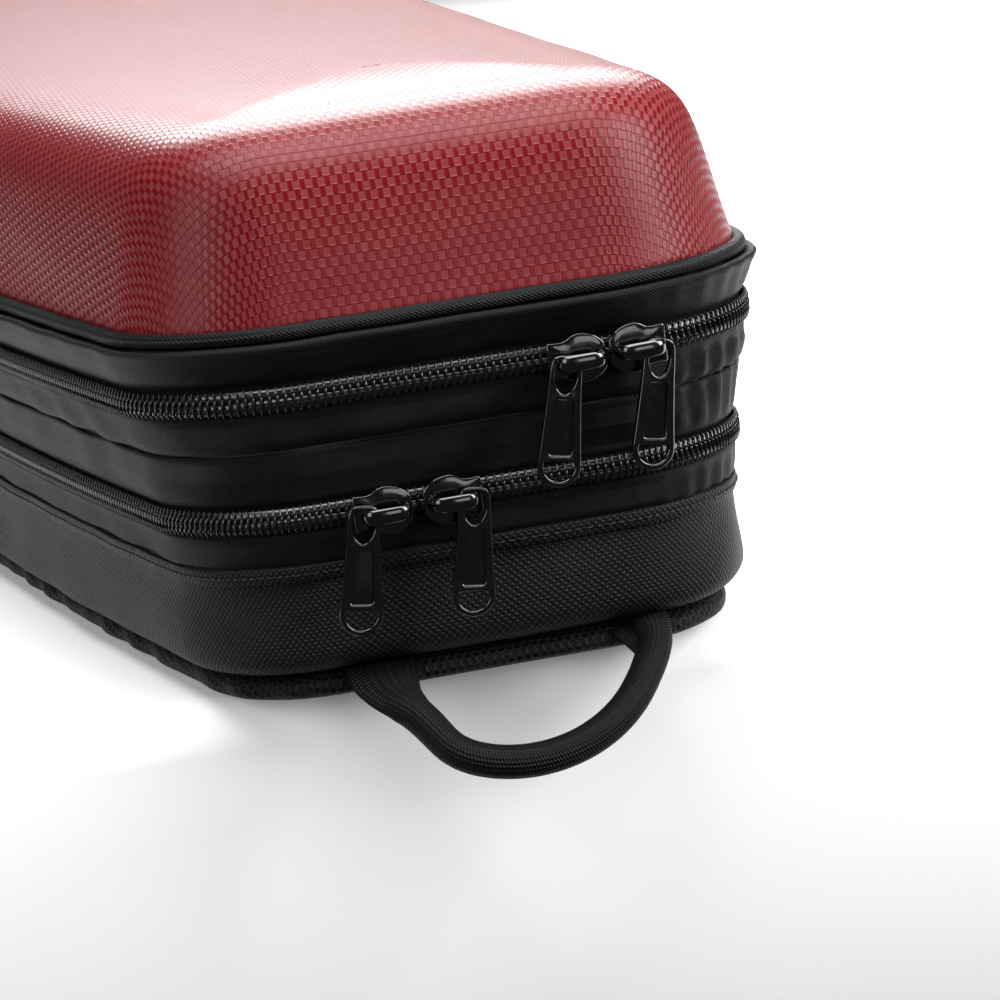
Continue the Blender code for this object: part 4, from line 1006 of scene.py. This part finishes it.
class CASE_OT_lid(CaseOperator, bpy.types.Operator):
    """Red cover, plush lining and piping of the lid"""

    bl_idname = "case.lid"
    bl_label = "Lid"

    def execute(self, context):
        m = measure()
        run = columns_round(2.5)
        top, foot = m.top_z - m.crown, m.welt_z
        outer = [(-43, top, 0), (-37, top - 0.5, 0), (-31, top - 1.7, 0), (-25, top - 3.4, 0)]
        outer += [(-19.6, top - 6.2, 0), (-15.2, top - 10, 0), (-12, top - 15, 0)]
        outer += [(-9.8, top - 21, 0)]
        outer += [(-8.0, top - 28, 0), (-6.2, top - 36, 0), (-4.7, top - 43.5, 0)]
        outer += [(-3.3, foot + 4.6, 0)]
        outer += [(-2.7, foot + 1.8, 0), (-3.4, foot - 1.0, 0), (-4.3, foot - 2.2, 0)]
        crown = [(-43, top + m.crown, 0.96), (-43, top + 0.97 * m.crown, 0.82)]
        crown += [(-43, top + 0.86 * m.crown, 0.6)]
        crown += [(-43, top + 0.62 * m.crown, 0.35), (-43, top + 0.28 * m.crown, 0.14)]
        outside = soften(outer, 2, False)
        inside = outside[::-4] + np.array([-1.3, -0.7, 0.0])
        inside[-1] = (-44, top - 1.3, 0)
        profile = [*crown, *outside, *inside, (-44, top + 0.2 * m.crown - 1.3, 0.4)]
        profile.append((-44, top + 0.85 * m.crown - 1.3, 0.85))

        def push(u, z):
            sink = np.clip((z - foot - 4) / 12, 0, 1)
            return sink * ripple(u, z, 11, 0.35, (5, 26), 60.0)

        shape = vessel(profile, run, push)
        piece("lid_cover", shape, "red_weave", "lid", ["lid_shell"])
        lining = [(-46, top - 2.2, 0.85), (-46, top - 2.2, 0.3), (-44, top - 2.6, 0)]
        lining += [(-31, top - 3.8, 0), (-21.8, top - 8.2, 0), (-15, top - 16, 0)]
        lining += [(-9.8, top - 32, 0)]
        lining += [(-6.6, foot + 3, 0), (-5.2, m.upper_z + 4.6, 0), (-4.2, m.upper_z + 0.4, 0)]
        lining += [(-8.4, m.upper_z + 0.4, 0), (-9.2, m.upper_z + 6, 0), (-12.6, foot + 10, 0)]
        lining += [(-16.4, top - 26, 0), (-22, top - 15, 0), (-32, top - 8.4, 0), (-45, top - 7, 0)]
        lining += [(-46, top - 6.6, 0.4), (-46, top - 6.2, 0.85)]
        profile = soften(lining, 2, False)

        def sway(u, z):
            return ripple(u, z, 12, 0.5, (8, 40), 40.0)

        piece("lid_lining", vessel(profile, columns_round(6), sway), "plush_lining", "lid")
        angle = np.arange(16) * TURN / 16
        cord = np.column_stack([-1.3 + 2.2 * np.cos(angle), foot + 2.2 * np.sin(angle)])

        def wander(u, z):
            return ripple(u, 0 * z, 13, 0.15, (20, 70))

        piece("piping", band(cord, columns_round(2.2), wander), "welt_cord", "lid", ["lid_piping"])
        return {"FINISHED"}


class CASE_OT_tapes(CaseOperator, bpy.types.Operator):
    """Zip tapes of the lid, the middle frame and the base"""

    bl_idname = "case.tapes"
    bl_label = "Zip tapes"

    def execute(self, context):
        m = measure()
        run = columns_round(2.2)
        corner = rear_run(m.long / 2 - m.end_radius) - 0.55 * m.end_radius * TURN / 4
        coil = -m.thick - 0.3
        low = coil - m.lower
        up, seam, down, hem, fold = m.upper_z, m.mid_z, m.lower_z, m.hem_z, m.fold_z
        lid = [(coil, up + 0.2), (coil, up + 3.4), (-1.9, up + 4.6), (-0.6, up + 6), (0.8, up + 9)]
        lid += [(2.2, up + 12.2), (3.2, fold - 1.6), (3.5, fold - 0.4), (2.7, fold + 0.5)]
        lid += [(1.0, fold + 0.4), (-1.0, fold - 0.5), (-3.3, fold - 1.2), (-3.4, fold - 2.6)]
        lid += [(-0.4, fold - 3.2), (-1.6, up + 8), (-3.0, up + 5), (coil - 0.8, up + 3)]
        lid += [(coil - 0.8, up + 0.2)]
        upper = [(coil, up - 0.2), (coil, up - 3.6), (-2.2, up - 4.7), (-2.4, up - 6.4)]
        upper += [(-2.9, up - 10)]
        upper += [(-3.6, seam + 2.6), (-4.4, seam + 0.9), (-5.4, seam + 0.2), (-6.4, seam + 0.5)]
        upper += [(-5.0, seam + 3), (-3.9, up - 9), (-3.4, up - 5.2), (coil - 0.8, up - 3.2)]
        upper += [(coil - 0.8, up - 0.2)]
        lower = [(low, down + 0.2), (low, down + 3.6), (-8.0, down + 4.6), (-7.3, down + 7)]
        lower += [(-6.3, down + 12), (-5.4, seam - 3), (-5.1, seam - 1.2), (-5.7, seam - 0.2)]
        lower += [(-6.6, seam - 0.5), (-6.3, seam - 3), (-7.3, down + 12), (-8.7, down + 6)]
        lower += [(low - 0.8, down + 3.2), (low - 0.8, down + 0.2)]
        base = [(low, down - 0.2), (low, down - 3.6), (-8.3, down - 4.6), (-8.5, down - 6)]
        base += [(-9.2, down - 9.6), (-9.9, hem + 0.6), (-10.6, hem + 0.2), (-10.9, hem + 1)]
        base += [(-10.2, down - 9.4), (-9.6, down - 6), (low - 0.8, down - 3.2)]
        base += [(low - 0.8, down - 0.2)]
        rows = (
            ("lid_tape", lid, "lid", "lid_zip_tape", 0.5, 0.35),
            ("middle_tape_top", upper, "middle", "middle_tape_upper", 0.45, 0.9),
            ("middle_tape_bottom", lower, "middle", "middle_tape_lower", 0.5, 0.8),
            ("base_tape", base, "base", "base_zip_tape", 0.25, 0.5),
        )
        for seed, (name, profile, body, node, deep, gather) in enumerate(rows):

            def push(u, z, seed=seed, deep=deep, gather=gather):
                near = np.minimum(np.abs(z - up), np.abs(z - down))
                free = np.clip((near - 4.4) / 4, 0, 1)
                slack = ripple(u, z, 20 + seed, deep, (12, 75), 26.0)
                return free * (slack + puckers(u, z, corner, 26, 9.5, gather))

            shape = band(soften(profile, 2), run, push)
            piece(name, shape, "black_tape", body, [node])
        return {"FINISHED"}


class CASE_OT_chains(CaseOperator, bpy.types.Operator):
    """Coil chains of both zips, half on each side, with the thread that sews them down"""

    bl_idname = "case.chains"
    bl_label = "Coil chains"

    def execute(self, context):
        rows = (
            ("lid_coil", "lid", "lid_zip_chain", True, 1),
            ("middle_coil_top", "middle", "middle_zip_chain_upper", True, -1),
            ("middle_coil_bottom", "middle", "middle_zip_chain_lower", False, 1),
            ("base_coil", "base", "base_zip_chain", False, -1),
        )
        for name, body, node, upper, side in rows:
            where = level_and_coil(upper)
            piece(name, coil_half(*where, side), "coil_nylon", body, [node])
            thread = chain_stitches(*where, side)
            piece(name + "_thread", thread, "thread", body)
        return {"FINISHED"}


class CASE_OT_hinge_cloths(CaseOperator, bpy.types.Operator):
    """Binding along the hinged side between the ends of the zips"""

    bl_idname = "case.hinge_cloths"
    bl_label = "Hinge cloths"

    def execute(self, context):
        rows = (
            ("lower", False, "base", "middle", "base_hinge_cloth", "middle_hinge_cloth_lower"),
            ("upper", True, "middle", "lid", "middle_hinge_cloth_upper", "lid_hinge_cloth"),
        )
        run = np.arange(rear_run(zip_end(1)) - 3, rear_run(zip_end(-1)) + 3, 3.0)
        for name, upper, below, above, *nodes in rows:
            level_mm, coil = level_and_coil(upper)
            tall, thick = 4.6, 0.9
            rise = np.linspace(-tall, tall, 13)
            outer = coil + 0.6 - 0.9 * (rise / tall) ** 2
            profile = [*zip(outer, level_mm + rise)]
            profile += zip(outer[::-1] - thick, level_mm + rise[::-1])
            shape = strip(np.array(profile), run)
            obj = piece(name + "_hinge_cloth", shape, "hinge_cloth", None, nodes)
            y = around(run[:1])[0][0][1] + coil + 0.6
            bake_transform(obj)
        return {"FINISHED"}


class CASE_OT_base(CaseOperator, bpy.types.Operator):
    """Nylon cover, hem and lining of the base"""

    bl_idname = "case.base"
    bl_label = "Base cover"

    def execute(self, context):
        m = measure()
        run = columns_round(2.2)
        hem = m.hem_z
        outer = [(-11.6, hem - 0.6), (-10.8, hem - 1.2), (-10.6, hem - 4.2), (-10.5, hem - 8)]
        outer += [(-10.0, hem - 13), (-9.5, hem - 18), (-9.3, hem - 23), (-9.7, hem - 27)]
        outer += [(-11.6, hem - 29.7), (-15.2, hem - 31.4), (-20, hem - 32.1), (-24, hem - 32.2)]
        inner = [(-24, hem - 30.6), (-16.6, hem - 29), (-12.2, hem - 25), (-11.8, hem - 12)]
        inner += [(-12.0, hem - 1.4)]

        def push(u, z):
            low = np.clip((hem - 3 - z) / 10, 0, 1)
            soft = ripple(u, z, 31, 0.55, (8, 44), 34.0)
            loop = sum(np.exp(-(((u - at) / 13) ** 2)) for at in loop_feet())
            tug = -1.6 * loop * np.clip((16 - z) / 10, 0, 1)
            return low * soft + tug

        shape = band(soften(outer + inner, 2), run, push)
        piece("base_cover", shape, "black_nylon", "base", ["base_shell"])
        lip = [(-10.5, hem - 4.5), (-9.9, hem - 4.6), (-9.5, hem - 4.0), (-9.3, hem - 2)]
        lip += [(-9.3, hem - 0.5), (-9.7, hem + 0.15), (-10.8, hem), (-11.2, hem - 1)]
        lip += [(-10.9, hem - 3)]

        def wave_along(u, z):
            return ripple(u, z, 32, 0.25, (14, 60))

        piece("hem", band(soften(lip, 2), run, wave_along), "black_nylon", "base", ["body_hem"])
        spots = np.arange(int(girth() / 3.1)) * girth() / int(girth() / 3.1)
        stitches = stitch_row(spots, -9.25, hem - 2.3, wave_along)
        piece("hem_stitches", stitches, "thread", "base")
        down = m.lower_z
        lining = [(-46, 9.2, 0.9), (-46, 9.2, 0.2), (-24, 9.4, 0), (-18, 11, 0), (-13.2, 16, 0)]
        lining += [(-12.8, hem - 8, 0), (-12.4, hem, 0), (-10.6, down - 5, 0)]
        lining += [(-10.2, down - 0.3, 0)]
        lining += [(-14.6, down - 0.3, 0), (-14.9, down - 5, 0), (-15.0, hem - 6, 0)]
        lining += [(-15.6, 15.4, 0)]
        lining += [(-19, 13.6, 0), (-26, 13.4, 0), (-46, 13.3, 0.2), (-46, 13.3, 0.9)]
        shape = vessel(soften(lining, 2, False), columns_round(6))
        piece("base_lining", shape, "plush_lining", "base")
        return {"FINISHED"}


def stitch_row(spots, offset, height, push):
    """Short dashes of thread along the wall: rounded bars that dip into it at both ends."""
    long = 2.3
    bar = np.linspace(-0.5, 0.5, 5)
    dip = 0.28 * (1 - (2 * bar) ** 2) ** 0.5 - 0.1
    at = spots[:, None] + long * bar
    place, normal = around(at)
    lift = offset + dip + push(at, np.full(at.shape, float(height)))
    centre = place + lift[..., None] * normal
    angle = np.arange(6) * TURN / 6
    thick = 0.27 * np.array([0.35, 0.95, 1.0, 0.95, 0.35])[None, :, None]
    out = thick * np.cos(angle)
    flat = centre[:, :, None] + out[..., None] * normal[:, :, None]
    tall = height + np.broadcast_to(thick * np.sin(angle), flat.shape[:3])
    points = np.concatenate([flat, tall[..., None]], -1)
    _, faces, uv = grid(points[0], wrap_columns=True, ends=True)
    count = points.shape[1] * points.shape[2]
    shift = (np.arange(len(spots)) * count)[:, None, None]
    faces = (faces[None] + shift).reshape(-1, 4)
    return points.reshape(-1, 3), faces, np.tile(uv, (len(spots), 1, 1))


def loop_feet():
    """Runs where the end loop is sewn into the seam."""
    low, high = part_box("end_loop")
    return ((low.y / MM + 10.5) % girth(), high.y / MM - 10.5)


class CASE_OT_back_pad(CaseOperator, bpy.types.Operator):
    """Spacer-mesh padding that the case lies on"""

    bl_idname = "case.back_pad"
    bl_label = "Mesh back pad"

    def execute(self, context):
        m = measure()
        top = m.seam_z
        pad = [(-46, 0.0, 0.9), (-46, 0.0, 0.3), (-34, 0.0, 0), (-28, 0.1, 0), (-22.4, 0.2, 0)]
        pad += [(-18.4, 0.7, 0), (-16.0, 2.6, 0), (-16.4, 6.0, 0), (-21.4, top, 0)]
        pad += [(-30, top + 0.1, 0), (-46, top + 0.1, 0.3), (-46, top + 0.1, 0.9)]

        def push(u, z):
            return ripple(u, z, 41, 0.6, (20, 90), 22.0) * np.clip(z / 3, 0, 1)

        shape = vessel(soften(pad, 2, False), columns_round(2.5), push)
        obj = piece("back_pad", shape, "spacer_mesh", "base", ["mesh_back_pad"])
        return {"FINISHED"}


class CASE_OT_sliders(CaseOperator, bpy.types.Operator):
    """Two sliders on each zip, and the pull that hangs from each"""

    bl_idname = "case.sliders"
    bl_label = "Sliders and pulls"

    def execute(self, context):
        longer = Matrix.Diagonal((1, 1.03, 1, 1))
        for name, (matrix, normal) in slider_frames().items():
            along, up, pull_along, pull_up, lean = SETTLED[name]
            zip_name, side = name.split("_")
            across = (-normal[1], normal[0])
            shape = placed(slider_shape(), nudge(along, up, across) @ matrix)
            mesh = lay_mesh("slider", shape)
            mesh.set_sharp_from_angle(angle=math.radians(50))
            body = f"{zip_name}_slider_{side}"
            piece("zip_slider_" + name, mesh, "black_metal", body, ["slider_" + name])
            hang = frame_on(joint(f"{zip_name}_pull_{side}_swings")[0], normal, across)
            turn = Matrix.Rotation(math.radians(lean), 4, "Z")
            mesh = pull_mesh()
            finish_mesh(mesh, nudge(pull_along, pull_up, across) @ hang @ turn @ longer)
            body = f"{zip_name}_pull_{side}"
            piece("zip_pull_" + name, mesh, "black_metal", body, ["pull_" + name])
        return {"FINISHED"}


class CASE_OT_end_loop(CaseOperator, bpy.types.Operator):
    """Loop of webbing rolled into a grip, with sewn ends and a flat flap at one of them"""

    bl_idname = "case.end_loop"
    bl_label = "End loop"

    def execute(self, context):
        slant = math.radians(52)
        down = np.array([math.sin(slant), 0, -math.cos(slant)])
        hinge = joint("end_loop_swings")[0]
        across, half_wide, hang = np.array([0, 1.0, 0]), 38.0, 38.9
        # Turn in degrees, and the webbing's half width and half thickness there.
        left = [(0, 10.4, 1.2), (7, 9.6, 1.4), (13, 8.0, 2.2), (19, 6.2, 3.8), (26, 5.0, 4.6)]
        right = [(0, 5.6, 2.6), (5, 5.2, 3.8), (12, 4.9, 4.6), (26, 4.7, 4.7)]
        ends = [(45, 4.7, 4.7), (135, 4.7, 4.7)]
        right = [(180 - turn, wide, thick) for turn, wide, thick in right[::-1]]
        table = np.array([*left, *ends, *right])
        angle = np.radians(np.linspace(-3, 183, 150))
        fall = np.sin(angle)
        side = -half_wide * np.cos(angle) - 3.5 * fall
        side += 4.2 * np.exp(-(((np.degrees(angle) - 32) / 20) ** 2))
        side += 1.6 * np.exp(-(((np.degrees(angle) - 172) / 14) ** 2))
        path = hinge + side[:, None] * across + hang * fall[:, None] * down
        size = np.column_stack(
            [np.interp(np.degrees(angle), table[:, 0], table[:, k]) for k in (1, 2)]
        )
        facing = np.array([math.cos(slant), 0.0, math.sin(slant)])
        shape = tube(path, size, 28, normal=facing)
        reach = np.linspace(0, 1, 12)[:, None]
        wing = hinge + (36.6 + 0.2 * reach) * across + (13 * reach - 1.0) * down
        wing = wing - (1.2 - 1.2 * reach) * facing
        flat = np.column_stack([10.0 - 6.4 * reach[:, 0] ** 0.8, np.full(12, 1.3)])
        shape = joined(shape, tube(wing, flat, 16, normal=facing))
        piece("end_handle", shape, "webbing", "end_loop", ["end_loop"])
        return {"FINISHED"}


class CASE_OT_carry_handle(CaseOperator, bpy.types.Operator):
    """Padded carry handle and its sewn anchors on the opening side"""

    bl_idname = "case.carry_handle"
    bl_label = "Carry handle"

    def execute(self, context):
        hinge, axis = joint("carry_handle_swings")
        along = -axis / np.linalg.norm(axis)
        out = np.cross(along, (0, 0, 1.0))
        out *= np.sign(-out[1])
        stand_off, hang = 5.5, 23
        lean = math.asin(stand_off / hang)
        down = math.sin(lean) * out - math.cos(lean) * np.array([0, 0, 1.0])
        half = 64.0
        # Along and down from the hinge's middle, and the grip's half width and half thickness.
        rows = np.array(
            [
                (half, 0.4, 9.2, 1.1),
                (half, 4.0, 9.0, 1.2),
                (half - 1, 9.0, 8.4, 1.8),
                (half - 6, 14.5, 7.6, 2.8),
                (half - 13, 18.6, 7.2, 4.4),
                (half - 21, 21.4, 7.1, 6.0),
                (half - 31, 22.6, 7.3, 6.5),
                (half - 42, 22.8, 7.5, 6.7),
                (0, 22.8, 7.6, 6.8),
            ]
        )
        rows = np.vstack([rows, rows[-2::-1] * (-1, 1, 1, 1)])
        rows = soften(rows, 3, False)
        path = hinge + rows[:, :1] * along + rows[:, 1:2] * down
        shape = tube(path, rows[:, 2:], 28, normal=np.cross(along, down))
        piece("carry_grip", shape, "webbing", "carry_handle", ["carry_handle"])
        for name in ("bout", "scroll"):
            node = "carry_anchor_" + name
            piece("carry_patch_" + name, softened_copy(node, 0.7), "webbing", "base", [node])
        return {"FINISHED"}


class CASE_OT_strap_rings(CaseOperator, bpy.types.Operator):
    """Shoulder-strap rings and the tabs that hold them on the hinged side"""

    bl_idname = "case.strap_rings"
    bl_label = "Strap rings"

    def execute(self, context):
        for name in ("scroll", "bout"):
            low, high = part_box("ring_" + name)
            wire = (high.y - low.y) / 2 / MM
            x, y = (low.x + high.x) / 2 / MM, (low.y + high.y) / 2 / MM
            top = high.z / MM - wire
            half, drop = (high.x - low.x) / 2 / MM - wire, (high.z - low.z) / MM - 2 * wire
            line = [(-half + 2, 0), (0, 0), (half - 2, 0), (half, -1.6), (half, -0.35 * drop)]
            bend = np.linspace(0, math.pi, 14)[1:-1]
            line += list(zip(half * np.cos(bend), -0.35 * drop - 0.65 * drop * np.sin(bend)))
            line += [(-half, -0.35 * drop), (-half, -1.6)]
            line = soften(line, 2)
            path = np.column_stack([x + line[:, 0], np.full(len(line), y), top + line[:, 1]])
            shape = tube(path, (wire, wire), 12, normal=(0.0, 1.0, 0.0), closed=True)
            body = "strap_ring_" + name
            piece("strap_ring_" + name, shape, "black_metal", body, ["ring_" + name])
            node = "ring_tab_" + name
            piece("strap_tab_" + name, softened_copy(node, 0.9), "webbing", "base", [node])
        return {"FINISHED"}


class CASE_OT_inside(CaseOperator, bpy.types.Operator):
    """Foam bed, accessory lid, neck strap, inner panel, frame lining and bow holders"""

    bl_idname = "case.inside"
    bl_label = "Inside"

    def execute(self, context):
        m = measure()
        for name, node, body, soft, stuff_name in (
            ("bed", "foam_bed", "base", 1.6, "plush_lining"),
            ("box_cover", "box_lid", "accessory_lid", 0.9, "plush_lining"),
            ("neck_ribbon", "neck_strap", "neck_strap", 0.5, "webbing"),
            ("bow_turn_front", "bow_toggle_front", "bow_toggle_front", 1.5, "plush_lining"),
            ("bow_turn_rear", "bow_toggle_rear", "bow_toggle_rear", 1.5, "plush_lining"),
            ("bow_socket_front", "bow_pocket_front", "middle", 0.7, "plush_lining"),
            ("bow_socket_rear", "bow_pocket_rear", "middle", 0.7, "plush_lining"),
        ):
            piece(name, softened_copy(node, soft), stuff_name, body, [node])
        up, down, seam = m.upper_z, m.lower_z, m.mid_z
        wall = [(-10.2, down + 0.4), (-10.1, down + 4), (-7.9, seam - 4), (-7.4, seam)]
        wall += [(-6.4, seam + 4)]
        wall += [(-3.9, up - 5), (-3.8, up - 0.4), (-8.0, up - 0.4), (-8.4, up - 4), (-11, seam)]
        wall += [(-13.6, down + 5), (-14.4, down + 0.4)]

        def push(u, z):
            return ripple(u, z, 51, 0.2, (10, 40))

        shape = band(soften(wall, 2), columns_round(5), push)
        piece("frame_lining", shape, "plush_lining", "middle", ["middle_frame"])
        rim = m.upper_z - 2.8
        top = rim + 21
        panel = [(-49.5, top, 0.9), (-49.5, top, 0.4), (-48, top - 0.6, 0), (-40, top - 2.4, 0)]
        panel += [(-27, top - 8, 0), (-16, top - 15, 0), (-10.4, rim + 0.4, 0), (-9.5, rim - 2, 0)]
        panel += [(-10.4, rim - 3.8, 0), (-16, rim - 1.0, 0), (-27.4, top - 12, 0)]
        panel += [(-40, top - 6.8, 0)]
        panel += [(-49.5, top - 5, 0), (-49.5, top - 4.8, 0.4), (-49.5, top - 4.4, 0.9)]

        def puff(u, z):
            return ripple(u, z, 52, 0.5, (14, 50), 40.0) * 0.6

        shape = vessel(soften(panel, 2, False), columns_round(5), puff)
        obj = piece("inner_cushion", shape, "plush_lining", "middle", ["inner_panel"])
        return {"FINISHED"}


class CASE_OT_stage(CaseOperator, bpy.types.Operator):
    """Table, lights and camera"""

    bl_idname = "case.stage"
    bl_label = "Stage"

    def execute(self, context):
        edge, lip, reach, drop = 350.0, 14.0, 2500.0, 400.0
        bend = np.linspace(0, TURN / 4, 7)
        line = [(-reach, 0), (-600, 0)]
        line += list(zip(edge + lip * np.sin(bend), lip * np.cos(bend) - lip))
        line += [(edge + lip, -drop), (-reach, -drop)]
        side = np.array([-reach, 0.0, reach])
        points = np.array([[(x, y, z) for x, z in line] for y in side])
        shape = grid(points, wrap_columns=True, ends=True)
        table = piece("table", shape, "table", "base")
        table.parent = None
        light_scene(context)
        place_camera(context)
        return {"FINISHED"}


def add_light(name, place, target, size, power):
    """A rectangular soft light aimed at a point."""
    data = bpy.data.lights.new(name, "AREA")
    data.shape = "RECTANGLE"
    data.size, data.size_y = size
    data.energy = power
    obj = bpy.data.objects.new(name, data)
    obj.location = place
    obj.rotation_euler = (Vector(target) - Vector(place)).to_track_quat("-Z", "Y").to_euler()
    bpy.context.scene.collection.objects.link(obj)


def light_scene(context):
    """Soft boxes above, right, left and behind, a weak card in front, and a white world.

    The camera sees the world at full strength, but it lights the case at only 0.08.
    """
    middle = (0.36, 0.0, 0.08)
    add_light("top_box", (0.5, 0.1, 1.5), (0.2, 0, 0.1), (1.6, 1.2), 50)
    add_light("right_box", (0.9, 1.5, 0.8), middle, (0.8, 1.2), 43)
    add_light("left_box", (1.3, -1.4, 0.8), middle, (0.9, 1.2), 14)
    add_light("back_box", (-1.4, 0.4, 1.2), (0, 0, 0.1), (1.4, 1.0), 50)
    add_light("front_card", (1.7, 0.5, 0.35), middle, (0.7, 0.5), 3)
    world = bpy.data.worlds.new("studio")
    world.use_nodes = True
    tree = world.node_tree
    seen = add_node(tree, "LightPath")
    strength = add_node(tree, "MapRange", [seen, 0.0, 1.0, 0.08, 1.0])
    tree.links.new(strength, tree.nodes["Background"].inputs["Strength"])
    tree.nodes["Background"].inputs["Color"].default_value = (1, 1, 1, 1)
    context.scene.view_settings.view_transform = "Standard"
    context.scene.world = world


def place_camera(context):
    """Long lens before the scroll end, a little above the zips."""
    data = bpy.data.cameras.new("camera")
    data.lens = 132.6
    data.sensor_width = 36
    data.clip_end = 20
    camera = bpy.data.objects.new("camera", data)
    place, target = Vector((1.3577, -0.1640, 0.2679)), Vector((0.3960, 0.0056, 0.0523))
    ahead = (target - place).normalized()
    swing = math.radians(10)
    level_right = Vector((math.sin(swing), math.cos(swing), 0))
    level_up = level_right.cross(ahead)
    roll = math.radians(7.27)
    right = math.cos(roll) * level_right - math.sin(roll) * level_up
    up = math.sin(roll) * level_right + math.cos(roll) * level_up
    turn = Matrix((right, up, -ahead)).transposed().to_4x4()
    camera.matrix_world = Matrix.Translation(place) @ turn
    context.scene.collection.objects.link(camera)
    context.scene.camera = camera


OPERATORS = (
    CASE_OT_lid,
    CASE_OT_tapes,
    CASE_OT_chains,
    CASE_OT_hinge_cloths,
    CASE_OT_base,
    CASE_OT_back_pad,
    CASE_OT_sliders,
    CASE_OT_end_loop,
    CASE_OT_carry_handle,
    CASE_OT_strap_rings,
    CASE_OT_inside,
    CASE_OT_stage,
)


class CASE_PT_build(bpy.types.Panel):
    """Lists the sizes, the colours and the pieces of the case"""

    bl_idname = "CASE_PT_build"
    bl_label = "Violin Case"
    bl_space_type = "VIEW_3D"
    bl_region_type = "UI"
    bl_category = "Violin Case"

    def draw(self, context):
        scene = context.scene
        for group in (scene.case_sizes, scene.zip_sizes, scene.case_colours):
            column = self.layout.column(align=True)
            for key in type(group).__annotations__:
                column.prop(group, key)
        for operator in OPERATORS:
            self.layout.operator(operator.bl_idname)


CLASSES = (CaseSizes, ZipSizes, CaseColours, *OPERATORS, CASE_PT_build)


def register():
    """Make the classes and the three groups of properties known."""
    for cls in CLASSES:
        bpy.utils.register_class(cls)
    bpy.types.Scene.case_sizes = bpy.props.PointerProperty(type=CaseSizes)
    bpy.types.Scene.zip_sizes = bpy.props.PointerProperty(type=ZipSizes)
    bpy.types.Scene.case_colours = bpy.props.PointerProperty(type=CaseColours)


def unregister():
    """Undo register."""
    for key in ("case_colours", "zip_sizes", "case_sizes"):
        delattr(bpy.types.Scene, key)
    for cls in reversed(CLASSES):
        bpy.utils.unregister_class(cls)


def main():
    """Build every piece in order."""
    register()
    for name in ("Cube", "Light", "Camera"):
        if name in bpy.data.objects:
            bpy.data.objects.remove(bpy.data.objects[name])
    for operator in OPERATORS:
        group, name = operator.bl_idname.split(".")
        getattr(getattr(bpy.ops, group), name)()


if __name__ == "__main__":
    main()
